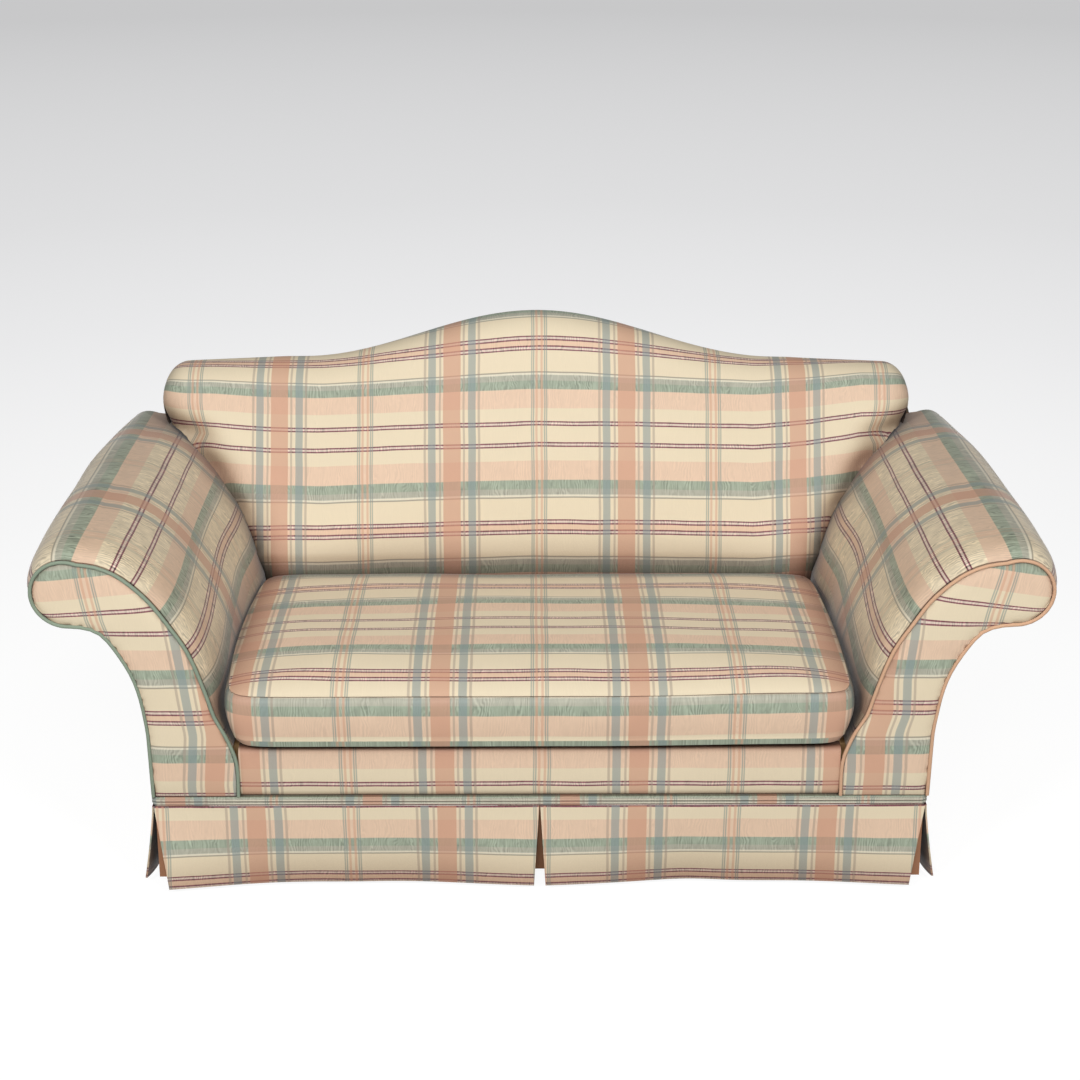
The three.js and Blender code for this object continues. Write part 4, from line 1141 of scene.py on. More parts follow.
    def outside(self) -> None:
        """Make the panel from under the roll down to the band."""
        sizes = self.shape.sizes
        line, out = self.shape.outline()
        picked = slice(self.shape.roll_end, None)
        line, out = line[picked].copy(), out[picked]
        line[0] += np.array([out[0, 1], -out[0, 0]]) * sizes.gap
        run = run_along(line)
        share = np.linspace(0, 1, 40)
        depth = sizes.frame_front + share * (sizes.frame_rear - sizes.frame_front)
        ends = np.abs(np.sin(math.pi * share)) ** 0.5
        edges = np.abs(np.sin(math.pi * run / run[-1])) ** 0.7
        puff = 0.0022 * ends[:, None] * edges
        stretch = np.hstack([line, out])
        outer = self.sheet(stretch, depth, puff, sizes.skin_bottom)
        inner = self.sheet(stretch, depth, -self.panel_depth, sizes.skin_bottom)
        weft = self.front_cloth(line[None, :, 0], outer[..., 2])[..., 1]
        cloth = joined(depth[:, None] - self.stripe_depth, weft)
        name = self.side.word + "_outside_arm"
        made = make_object(name + "_panel", shell(self.mirrored(outer), self.mirrored(inner), cloth))
        Piece(name, Slot.PLAID, fill=0.3).declare(made, self.finishes.watered_plaid)

    def build(self) -> None:
        """Make every piece of the arm."""
        self.pad()
        self.facing()
        self.welt()
        self.outside()


@dataclass(frozen=True)
class CamelShape:
    """Shape of the padded back, with its hump and its rounded ears."""

    sizes: Sizes
    peak: float = 0.927
    shoulder: float = 0.825
    hump_half: float = 0.502
    hump_shift: float = -0.004
    right_drop: float = 0.004
    droop: float = 0.009
    droop_start: float = 0.540
    half: float = 0.810
    ear_width: float = 0.062
    ear_drop: float = 0.078
    ear_setback: float = 0.042
    peak_roll: float = 0.070
    shoulder_roll: float = 0.084
    rear_roll: float = 0.036
    knee_height: float = 0.450
    knee_round: float = 0.060
    crown: float = 0.013
    rear_turns: int = 12
    rear_steps: int = 10

    def ear_share(self, x: float) -> float:
        """Give one over most of the back, falling to nothing round the ear."""
        past = min(max((abs(x) - (self.half - self.ear_width)) / self.ear_width, 0), 1)
        return math.sqrt(1 - past * past)

    def height(self, x: float) -> float:
        """Give the height of the camel line at a distance from the middle.

        Args:
            x: Distance from the middle.

        Returns:
            Height of the line.
        """
        hump = 0.5 * (1 + math.cos(math.pi * min(abs(x - self.hump_shift) / self.hump_half, 1)))
        ear_start = self.half - self.ear_width
        droop = min(max((abs(x) - self.droop_start) / (ear_start - self.droop_start), 0), 1)
        line = self.shoulder + (self.peak - self.shoulder) * hump - self.droop * droop
        line -= self.right_drop * float(smooth_step(x, 0.35, 0.6))
        return line - self.ear_drop * (1 - self.ear_share(x))

    def section(self, x: float) -> Array:
        """Give the side view of the back at one place across the sofa.

        Args:
            x: Distance from the middle.

        Returns:
            Depths and heights from the front foot over the crest to the rear foot.
        """
        s = self.sizes
        top = self.height(x)
        ear = 1 - self.ear_share(x)
        across = min(abs(x) / self.hump_half, 1)
        roll = self.peak_roll + (self.shoulder_roll - self.peak_roll) * across - self.ear_setback * ear / 2
        crest = s.frame_rear - self.rear_roll
        centre = np.array([crest, top - roll])
        knee = np.array([s.foot_depth + self.ear_setback * ear, self.knee_height])
        foot = s.deck_height(s.foot_depth) + s.gap
        lean = math.atan2(centre[0] - roll - knee[0], centre[1] - knee[1])
        points = [[knee[0] + 0.004, foot], [knee[0], foot + 0.03], [knee[0], knee[1] - self.knee_round]]
        tangent = np.array([centre[0] - roll * math.cos(lean), centre[1] + roll * math.sin(lean)])
        lean_steps = 30
        for i in range(lean_steps):
            t = i / lean_steps
            p = knee + (tangent - knee) * t
            swell = self.crown * math.sin(math.pi * t) * (1 - across ** 4) + self.crown * (1 - t) / 2
            soften = 1 - math.exp(-(t * lean_steps + 0.6) / 2.5)
            points.append([p[0] - swell * math.cos(lean) * self.ear_share(x) * soften, p[1]])
        roll_turns = 16
        for i in range(roll_turns):
            angle = math.pi - lean - (math.pi / 2 - lean) * (i / roll_turns)
            points.append([centre[0] + roll * math.cos(angle), centre[1] + roll * math.sin(angle)])
        for i in range(self.rear_turns + 1):
            angle = (math.pi / 2) * (1 - i / self.rear_turns)
            points.append([crest + self.rear_roll * math.cos(angle),
                           top - self.rear_roll * (1 - math.sin(angle))])
        falling = np.linspace(top - self.rear_roll, foot, self.rear_steps + 1)[1:]
        return np.array([*points, *([s.frame_rear, z] for z in falling)])


@dataclass
class Back:
    """Padded camel back with its flat rear panel."""

    shape: CamelShape
    arm: ArmShape
    finishes: Finishes
    stations: int = 131
    top_padding: float = 0.028
    cavity_half: float = 0.550
    cavity_end: float = 0.058
    cavity_ledge: float = 0.738
    cavity_foot_depth: float = 0.6547
    cavity_top_depth: float = 0.7747
    cloth_shift: float = 0.0045 - 0.1875
    cloth_rise: float = 0.317
    lower_scale: float = 1.0075
    upper_scale: float = 0.99
    sag: float = 0.010
    lift: float = 0.034
    right_trim: float = 0.008
    draw_line: tuple[Pair, ...] = (
        (-0.80, -0.017), (-0.46, -0.0045), (0.0, 0.0025), (0.46, 0.009), (0.60, 0.017),
        (0.80, 0.022))  # places across, and how far the warp is drawn in there
    rise_line: tuple[Pair, ...] = (
        (-0.80, 0.018), (-0.69, 0.012), (-0.575, 0.0), (-0.46, -0.005), (0.0, 0.005), (0.46, 0.002),
        (0.575, 0.014), (0.69, 0.033), (0.80, 0.036))  # places across, and how far the weft rises there
    ear_turn: float = 0.016
    ear_tuck: float = 0.036

    def inside(self) -> None:
        """Make the padded inside back, hollow behind and fitted to the arms."""
        sizes = self.shape.sizes
        turns = np.linspace(-1, 1, self.stations)
        bunching = math.pi / 2 * 0.86  # sections lie closer together towards the ears
        places = self.shape.half * np.sin(turns * bunching) / math.sin(bunching) * 0.9995
        sections = np.array([self.shape.section(x) for x in places])
        places = places - self.right_trim * smooth_step(places, 0.4, 0.8)
        count = sections.shape[1]
        rings = joined(places[:, None], *np.moveaxis(sections, -1, 0))
        run = np.array([run_along(section) for section in sections])
        across, draws = np.array(self.draw_line).T
        spots, rises = np.array(self.rise_line).T
        warp = (places + np.interp(places, across, draws) - self.cloth_shift)[:, None]
        climb = run - run[:, 2:3]
        hump = np.exp(-(places[:, None] / 0.30) ** 2)
        low = self.sag * (places[:, None] / 0.75) ** 2
        low = low + self.lift * (1 - hump) * smooth_step(climb, 0.355, 0.56)
        below = self.cloth_rise - climb - low + np.interp(places, spots, rises)[:, None]
        weft = below / np.where(below > 0, self.lower_scale, self.upper_scale)
        share = (rings[..., 1] - sizes.frame_front) / (sizes.frame_rear - sizes.frame_front)
        full = self.arm.fullness(np.clip(share, 0, 1))
        gap = self.arm.distance(np.abs(rings[..., 0]), rings[..., 2], full)
        near_gap = np.maximum(gap, 0)
        facing_front = np.arange(count) < count - self.shape.rear_turns - self.shape.rear_steps - 1
        at_ear = smooth_step(np.abs(places), 0.60, 0.76)[:, None]
        reach = 0.020 + 0.022 * at_ear
        tuck = (0.020 + (self.ear_tuck - 0.020) * at_ear) * np.exp(-(near_gap / reach) ** 1.5)
        tuck = tuck * facing_front * (1 - smooth_step(np.arange(count), 30, 47))
        cloth = joined(warp, weft - 0.016 * np.exp(-near_gap / 0.020) * facing_front)
        pull = 0.0022 * np.exp(-(near_gap / 0.075)) * np.sin(rings[..., 2] * TURN / 0.075)
        rings[..., 1] += tuck + pull * facing_front
        rings[..., 1] += 0.0016 * unevenness(rings, 0.31, 0.4) * facing_front
        made = make_object("inside_back_cover", self.capped(rings, cloth))
        cut_away(made, [*self.arm_cutters(), *self.hollow()])
        for vertex in made.data.vertices:
            vertex.co.x -= float(self.turned_in(np.array(vertex.co)))
        finish_mesh(made.data)
        Piece("inside_back", Slot.PLAID, fill=0.8).declare(made, self.finishes.plaid)

    def turned_in(self, points: Array) -> Array:
        """Give how far points of the ears are turned in towards the arms.

        Args:
            points: Points of the back.

        Returns:
            The shift across at each point.
        """
        x, z = points[..., 0], points[..., 2]
        under = np.clip((0.748 - z) / 0.060, 0, 1) ** 1.5 * smooth_step(z, 0.655, 0.69)
        return np.sign(x) * self.ear_turn * under * smooth_step(np.abs(x), 0.60, 0.76)

    def capped(self, rings: Array, cloth: Array) -> Surface:
        """Skin the sections and round off both ends.

        Args:
            rings: Sections across the back.
            cloth: Their cloth coordinates.

        Returns:
            The closed form.
        """
        ends, marks = {}, {}
        shares = np.array([0.10, 0.30, 0.62])[:, None]
        proud = np.array([0.0008, 0.0014, 0.0018])[:, None]
        for index, out in ((0, -1), (-1, 1)):
            x, y, z = rings[index].T
            drawn = y + ((y.min() + y.max()) / 2 - y) * shares
            ends[out] = joined(x + out * proud, drawn, z - np.maximum(z - 0.55, 0) * 0.28 * shares)
            u, v = cloth[index].T
            marks[out] = joined(u + out * np.abs(y - drawn), v)
        all_rings = np.concatenate([ends[-1][::-1], rings, ends[1]])
        all_cloth = np.concatenate([marks[-1][::-1], cloth, marks[1]])
        return tube(all_rings, np.concatenate([all_cloth, all_cloth[:, -1:]], axis=1))

    def arm_cutters(self) -> list[Thing]:
        """Make the solids of both arms, which the inside back is fitted to.

        Returns:
            The left and the right solid.
        """
        sizes = self.shape.sizes
        line, out = self.arm.outline()
        top = self.arm.inside_steps + self.arm.roll_steps // 3
        length = sizes.frame_rear - sizes.frame_front
        rings = []
        for along in np.linspace(0.35, 1.0, 30):
            face = line + out * (self.arm.swelling(np.array([along]), line)[0] + 0.0006)[:, None]
            face = face[:top + 1]
            outline = [(face[0, 0], 0.0), *face.tolist(), (1.2, face[-1, 1]), (1.2, 0.0)]
            rings.append([(x, sizes.frame_front + along * length, z) for x, z in outline])
        rings.append([(x, sizes.frame_rear + 0.04, z) for x, _, z in rings[-1]])
        right = np.array(rings)
        left = right * np.array([-1.0, 1.0, 1.0])
        return [make_object("arm_cutter", tube(points)) for points in (left, right)]

    def hollow_depth(self, z: float) -> float:
        """Give the depth of the hollow's front face at a height.

        Args:
            z: Height.

        Returns:
            Depth there.
        """
        foot = self.shape.sizes.deck_height(self.shape.sizes.foot_depth)
        share = (z - foot) / (self.shape.peak - self.top_padding - foot)
        return self.cavity_foot_depth + (self.cavity_top_depth - self.cavity_foot_depth) * share

    def hollow(self) -> list[Thing]:
        """Make the solids of the hollow behind the padding, where the wooden frame stands.

        Returns:
            The upper and the lower solid.
        """
        half = self.shape.half - self.cavity_end
        places = np.linspace(-half, half, 61)
        upper = [(x, self.shape.height(x) - self.top_padding) for x in places]
        upper += [(half, self.cavity_ledge), (-half, self.cavity_ledge)]
        ledge, foot = self.cavity_ledge + self.shape.sizes.gap, 0.15
        lower = [(-self.cavity_half, ledge), (self.cavity_half, ledge), (self.cavity_half, foot),
                 (-self.cavity_half, foot)]
        rear = self.shape.sizes.frame_rear + 0.04
        return [prism("hollow", outline, self.hollow_depth, rear) for outline in (upper, lower)]

    def panel_outline(self, inset: float) -> list[Pair]:
        """Give the outline of the rear panel, drawn in from its edge.

        Args:
            inset: Distance from the full outline.

        Returns:
            Corners in X and Z, all round.
        """
        half = self.shape.half - 0.020
        top = [(x, self.shape.height(x) - 0.020 - inset) for x in np.linspace(0, half - inset, 46)]
        line, out = self.arm.outline()
        arm = line + out * (self.arm.swelling(np.array([1.0]), line)[0] - 0.001 - inset)[:, None]
        after = [p for i, p in enumerate(arm.tolist())
                 if i > self.arm.inside_steps - 2 and (p[0] > half - inset or i > self.arm.roll_end)]
        right = [*top, *((p[0], max(p[1], self.shape.sizes.skin_bottom + inset)) for p in after)]
        left = [(-x, z) for x, z in reversed(right[1:])]
        return [*right, *left]

    def outside(self) -> None:
        """Make the flat panel behind the back and the ends of both arms."""
        depth = self.shape.sizes.base_depth
        front = depth - self.shape.sizes.skin + self.shape.sizes.gap
        steps = ((0.0, front), (0.0, depth - 0.005), (0.0012, depth - 0.0016), (0.0045, depth),
                 (0.030, depth + 0.0012))
        rings = np.array([[(x, y, z) for x, z in self.panel_outline(inset)] for inset, y in steps])
        cloth = joined(rings[..., 0] - self.cloth_shift, FOOT_WEFT - rings[..., 2])
        made = make_object("outside_back_panel", tube(rings, cloth), 35.0)
        Piece("outside_back", Slot.PLAID, fill=0.2).declare(made, self.finishes.plaid)

    def build(self) -> None:
        """Make both pieces of the back."""
        self.inside()
        self.outside()


@dataclass
class SeatBase:
    """Front border, seat deck, band round the base and dust cover."""

    sizes: Sizes
    finishes: Finishes
    stripe_shift: float = 0.183  # cloth coordinate at the sofa's middle
    cord: float = 0.0033
    proud: float = 0.003
    border_setback: float = 0.005
    border_round: float = 0.015
    lip: float = 0.0026

    def padded_bar(self, name: str, section: Sequence[Pair], half: float,
                   cloth_of: Callable[[Array], Array], columns: int = 90) -> Thing:
        """Make a long padded bar with one section.

        Args:
            name: Name of the object.
            section: Depths and heights of the section.
            half: Half of the bar's length.
            cloth_of: Gives the cloth coordinates of points.
            columns: Number of stations along the bar.

        Returns:
            The object.
        """
        places = np.linspace(-half, half, columns)
        rings = np.array([[(x, y, z) for y, z in section] for x in places])
        rings[..., 1] += 0.0007 * unevenness(rings, 0.21, 3.1)
        return make_object(name, tube(rings, cloth_of(rings)))

    def border(self) -> None:
        """Make the padded border between the arms."""
        s = self.sizes
        top = s.deck_height(0.031) - 0.013
        rear = 0.0310
        front = self.border_setback
        section = [(rear, s.skin_bottom), (front + 0.003, s.skin_bottom)]
        for share in np.linspace(0, 1, 12):
            z = s.skin_bottom + 0.004 + share * (top - self.border_round - 0.005 - s.skin_bottom)
            section.append((front - 0.0025 * math.sin(math.pi * share), z))
        for turn in np.linspace(0.12, 1, 9):
            angle = turn * math.pi / 2
            section.append((front + self.border_round * (1 - math.cos(angle)),
                            top - self.border_round * (1 - math.sin(angle))))
        section.append((rear, top))

        def cloth_of(points: Array) -> Array:
            """Lay the cloth upright on the border."""
            upright = FOOT_WEFT - points[..., 2] - points[..., 1] + front
            return joined(points[..., 0] * 1.022 + self.stripe_shift, np.maximum(upright, -0.093))

        made = self.padded_bar("front_border_cover", section, s.seat_half - 0.002, cloth_of)
        Piece("front_border", Slot.PLAID, fill=0.6).declare(made, self.finishes.plaid)

    def deck(self) -> None:
        """Make the padded deck over the springs."""
        s = self.sizes
        front, rear, thick, half = 0.0316, 0.6497, 0.012, s.seat_half - 0.002
        places = np.linspace(front, rear, 30)
        upper = [(y, s.deck_height(y) - 0.0004) for y in places]
        lower = [(y, s.deck_height(y) - thick) for y in places[::-1]]
        made = self.padded_bar("seat_deck_cover", [*upper, *lower], half, lambda points: points[..., :2], 60)
        Piece("seat_deck", Slot.DECKING, fill=0.3).declare(made, self.finishes.decking)

    def band(self) -> None:
        """Make the double cord round the top of the skirt."""
        s = self.sizes
        tall = s.band_top - s.rail_bottom
        section = [(self.proud + s.skin, 0.0), (self.cord * 0.75, 0.0), (self.cord * 0.75, self.lip)]
        for centre in (self.lip + self.cord, self.lip + 3 * self.cord):
            for angle in np.linspace(-math.pi / 2, math.pi / 2, 11)[1:-1]:
                section.append((self.cord * (1 - math.cos(angle)), centre + self.cord * math.sin(angle)))
        section += [(self.cord, tall - 0.0006), (self.proud + s.skin, tall)]
        moved = [i == 0 or math.dist(p, section[i - 1]) > 1e-5 for i, p in enumerate(section)]
        profile = np.array(section)[moved]
        radius = self.proud + s.skin + 0.0009
        x, front = s.base_half + self.proud - radius, radius - self.proud
        rear = s.base_depth + self.proud - radius
        path = []
        corners = ((x, front, -0.5), (x, rear, 0.0), (-x, rear, 0.5), (-x, front, 1.0))
        for index, (cx, cy, start) in enumerate(corners):
            for i in range(9):
                path.append((cx, cy, math.pi * (start + i / 16)))
            nx, ny, _ = corners[(index + 1) % 4]
            for share in np.linspace(0, 1, 70)[1:-1]:
                path.append((cx + (nx - cx) * share, cy + (ny - cy) * share, math.pi * (start + 0.5)))
        cx, cy, angle = np.array(path).T[..., None]
        reach = radius - profile[:, 0]
        rings = joined(cx + reach * np.cos(angle), cy + reach * np.sin(angle), s.rail_bottom + profile[:, 1])
        outer = rings[:, len(profile) // 2]
        run = run_along(np.vstack([outer, outer[:1]]))
        on_lip = np.append(profile[:, 1] <= self.lip + 1e-6, False)
        height = np.append(profile[:, 1], 0.0)
        middles = np.array([self.lip + self.cord, self.lip + 3 * self.cord])
        off_middle = np.min(np.abs(height[:, None] - middles), axis=1)
        # The thin light weft stripe runs along each cord's crest: partly the cord cloth's own stripe, partly
        # a painted highlight along the crest
        weft = np.where(on_lip, 0.0215 - height / 0.9, 0.1300 - off_middle * 4.5)
        cloth = joined(run[:, None] - 0.18, weft)
        made = make_object("base_band_cords", tube(rings, cloth, looped=True), CORD_CREASE)
        Piece("base_band", Slot.PLAID).declare(made, self.finishes.plaid)

    def dust_cover(self) -> None:
        """Make the cloth under the frame, notched round the legs."""
        x, front, rear, notch = 0.7137, 0.0436, 0.8117, 0.096
        top, thick = 0.1777, 0.0015
        outline = [(x - notch, front), (x - notch, front + notch), (x, front + notch), (x, rear - notch),
                   (x - notch, rear - notch), (x - notch, rear)]
        whole = [*outline, *[(-u, v) for u, v in reversed(outline)]]
        rings = np.array([[(u, v, z) for u, v in whole] for z in (top - thick, top)])
        made = make_object("dust_cover_cloth", tube(rings, rings[..., :2]), 30.0)
        Piece("dust_cover", Slot.DUST_CLOTH).declare(made, self.finishes.dust_cloth)

    def build(self) -> None:
        """Make every piece of the base."""
        self.border()
        self.deck()
        self.band()
        self.dust_cover()


@dataclass
class Skirt:
    """Kick-pleated skirt: five panels, and the lined flaps behind their splits."""

    sizes: Sizes
    finishes: Finishes
    stripe_shift: float = 0.183  # cloth coordinate at the sofa's middle
    thick: float = 0.003
    hem: float = 0.012
    rest_flare: float = 0.002
    reach_share: float = 0.42
    flap_thick: float = 0.002
    flap_reach: float = 0.080
    flap_inset: float = 0.004
    flap_draw: float = 0.022
    corner_draw: float = -0.003
    cloth_scale: float = 1.032

    @property
    def hinge_height(self) -> float:
        """Height of the line that a panel hangs from."""
        return self.sizes.rail_bottom - 2 * self.sizes.gap - self.thick / 2

    def flare(self, share: Array, start: float, end: float) -> Array:
        """Say how far the hem stands out along the panel.

        Args:
            share: Places along the panel.
            start: Flare at its first end.
            end: Flare at its other end.

        Returns:
            Distance in front of the upright.
        """
        near = np.maximum(1 - share / self.reach_share, 0) ** 1.5
        far = np.maximum(1 - (1 - share) / self.reach_share, 0) ** 1.5
        return self.rest_flare + start * near + end * far

    def panel(self, name: str, top: Pair, foot: Pair, flares: Pair, place: Callable[[Array], Array],
              cloth_sign: float, cloth_shift: float, dip: Pair = (0.5, 0.0), curl: float = 0.0) -> None:
        """Make one panel.

        Args:
            name: Name of the CAD node and body.
            top: Ends of the panel along its top.
            foot: Ends of the panel along its hem.
            flares: How far the hem stands out at each end.
            place: Puts points given as along, out and up where they belong.
            cloth_sign: Direction of the cloth along the panel.
            cloth_shift: Cloth coordinate of the start of the panel's own axis.
            dip: Share of the length at which the hem hangs in, and how far.
            curl: How far the first edge of the hem turns out further.
        """
        half, drop_length = self.thick / 2, self.hinge_height - self.hem
        share = np.concatenate([np.linspace(0, 0.1, 16)[:-1], np.linspace(0.1, 1, 75)])
        out = self.flare(share, *flares) - dip[1] * np.exp(-((share - dip[0]) / 0.12) ** 2)
        out += curl * np.maximum(1 - share / 0.075, 0) ** 2
        out += 0.0012 * np.sin(share * TURN * 2.3 + cloth_shift)
        drops = np.linspace(0, 1, 26)
        turns = np.linspace(0, math.pi, 7)[1:-1]
        section = [(drop, half, 0.0) for drop in drops[::-1]]
        section += [(0.0, half * math.cos(turn), half * math.sin(turn)) for turn in turns]
        section += [(drop, -half - 0.0007 * float(smooth_step(drop, 0.76, 0.78)), 0.0) for drop in drops]
        drop, offset, rise = np.array(section).T
        at_top, at_foot = ((ends[0] + (ends[1] - ends[0]) * share)[:, None] for ends in (top, foot))
        along, fallen = at_top + (at_foot - at_top) * drop, drop_length * drop
        points = place(joined(along, offset + out[:, None] * drop ** 1.2, self.hinge_height - fallen + rise))
        weft = 0.0255 + fallen / 0.90 - 0.006 * np.sin(math.pi * (fallen / drop_length) ** 1.1) ** 2
        cloth = joined(along * cloth_sign * self.cloth_scale + cloth_shift, weft)
        made = make_object(name + "_panel", tube(points, cloth), CORD_CREASE)
        Piece(name, Slot.PLAID, body=name).declare(made, self.finishes.plaid)

    def panels(self) -> None:
        """Make the five panels."""
        s = self.sizes
        edge = s.base_half - 0.0015
        out = 0.0005
        for side, far_flare, dip in ((Side.RIGHT, 0.017, (0.40, 0.006)), (Side.LEFT, 0.028, (0.5, 0.0))):
            def front(p: Array, sign: int = side.value) -> Array:
                """Stand the panel along the front of the base."""
                return joined(sign * p[..., 0], -out - p[..., 1], p[..., 2])

            self.panel(f"front_{side.word}_skirt", (0.001, edge), (0.011, edge - 0.023), (0.017, far_flare),
                       front, float(side.value), self.stripe_shift, dip)
        for side in Side:
            def place(p: Array, sign: int = side.value) -> Array:
                """Stand the panel along one side of the base."""
                return joined(sign * (s.base_half + out + p[..., 1]), p[..., 0], p[..., 2])

            top, foot = ((end, s.base_depth - end) for end in (0.0015, 0.0095))
            self.panel(side.word + "_skirt", top, foot, (0.013, 0.018), place, 1.0, 0.07, curl=0.012)
        rear = s.base_depth + out
        self.panel("back_skirt", (-edge, edge), (-edge + 0.012, edge - 0.012), (0.023, 0.023),
                   lambda p: joined(p[..., 0], rear + p[..., 1], p[..., 2]), -1.0, 0.005)

    def flap(self, name: str, path: Sequence[tuple[float, float, float, float]], draw: float) -> None:
        """Make one lined flap.

        Args:
            name: Name of the CAD node.
            path: Places in plan with their outward directions.
            draw: How far its hem hangs in.
        """
        top, foot = self.sizes.rail_bottom - self.sizes.gap, self.hem + 0.008
        rows = 14
        line = np.array(path)
        drops = np.linspace(0, 1, rows)
        x, y, out_x, out_y = line.T[..., None]
        fallen = (top - foot) * drops
        outer, inner = (joined(x - out_x * inward, y - out_y * inward, top - fallen)
                        for inward in (0.0 + draw * drops, self.flap_thick + draw * drops))
        run = run_along(line[:, :2])
        cloth = joined(run[:, None], fallen)
        made = make_object(name + "_cloth", shell(outer, inner, cloth), CORD_CREASE)
        Piece(name, Slot.LINING).declare(made, self.finishes.lining)

    def flaps(self) -> None:
        """Make the flaps behind the centre split and the four corners."""
        s = self.sizes
        inset = self.flap_inset
        places = np.linspace(-self.flap_reach, self.flap_reach, 17)
        self.flap("centre_pleat_flap", [(x, inset, 0.0, -1.0) for x in places], self.flap_draw)
        for end, y, ny in (("front", inset, -1.0), ("rear", s.base_depth - inset, 1.0)):
            for side in Side:
                sign = side.value
                x = s.base_half - inset
                reach = np.linspace(self.flap_reach, 0.006, 9)
                path = [(sign * (x - r), y, 0.0, ny) for r in reach]
                path += [(sign * x, y, float(sign), ny)]
                path += [(sign * x, y - ny * r, float(sign), 0.0) for r in reach[::-1]]
                self.flap(f"{end}_{side.word}_pleat_flap", path, self.corner_draw)

    def build(self) -> None:
        """Make every piece of the skirt."""
        self.panels()
        self.flaps()


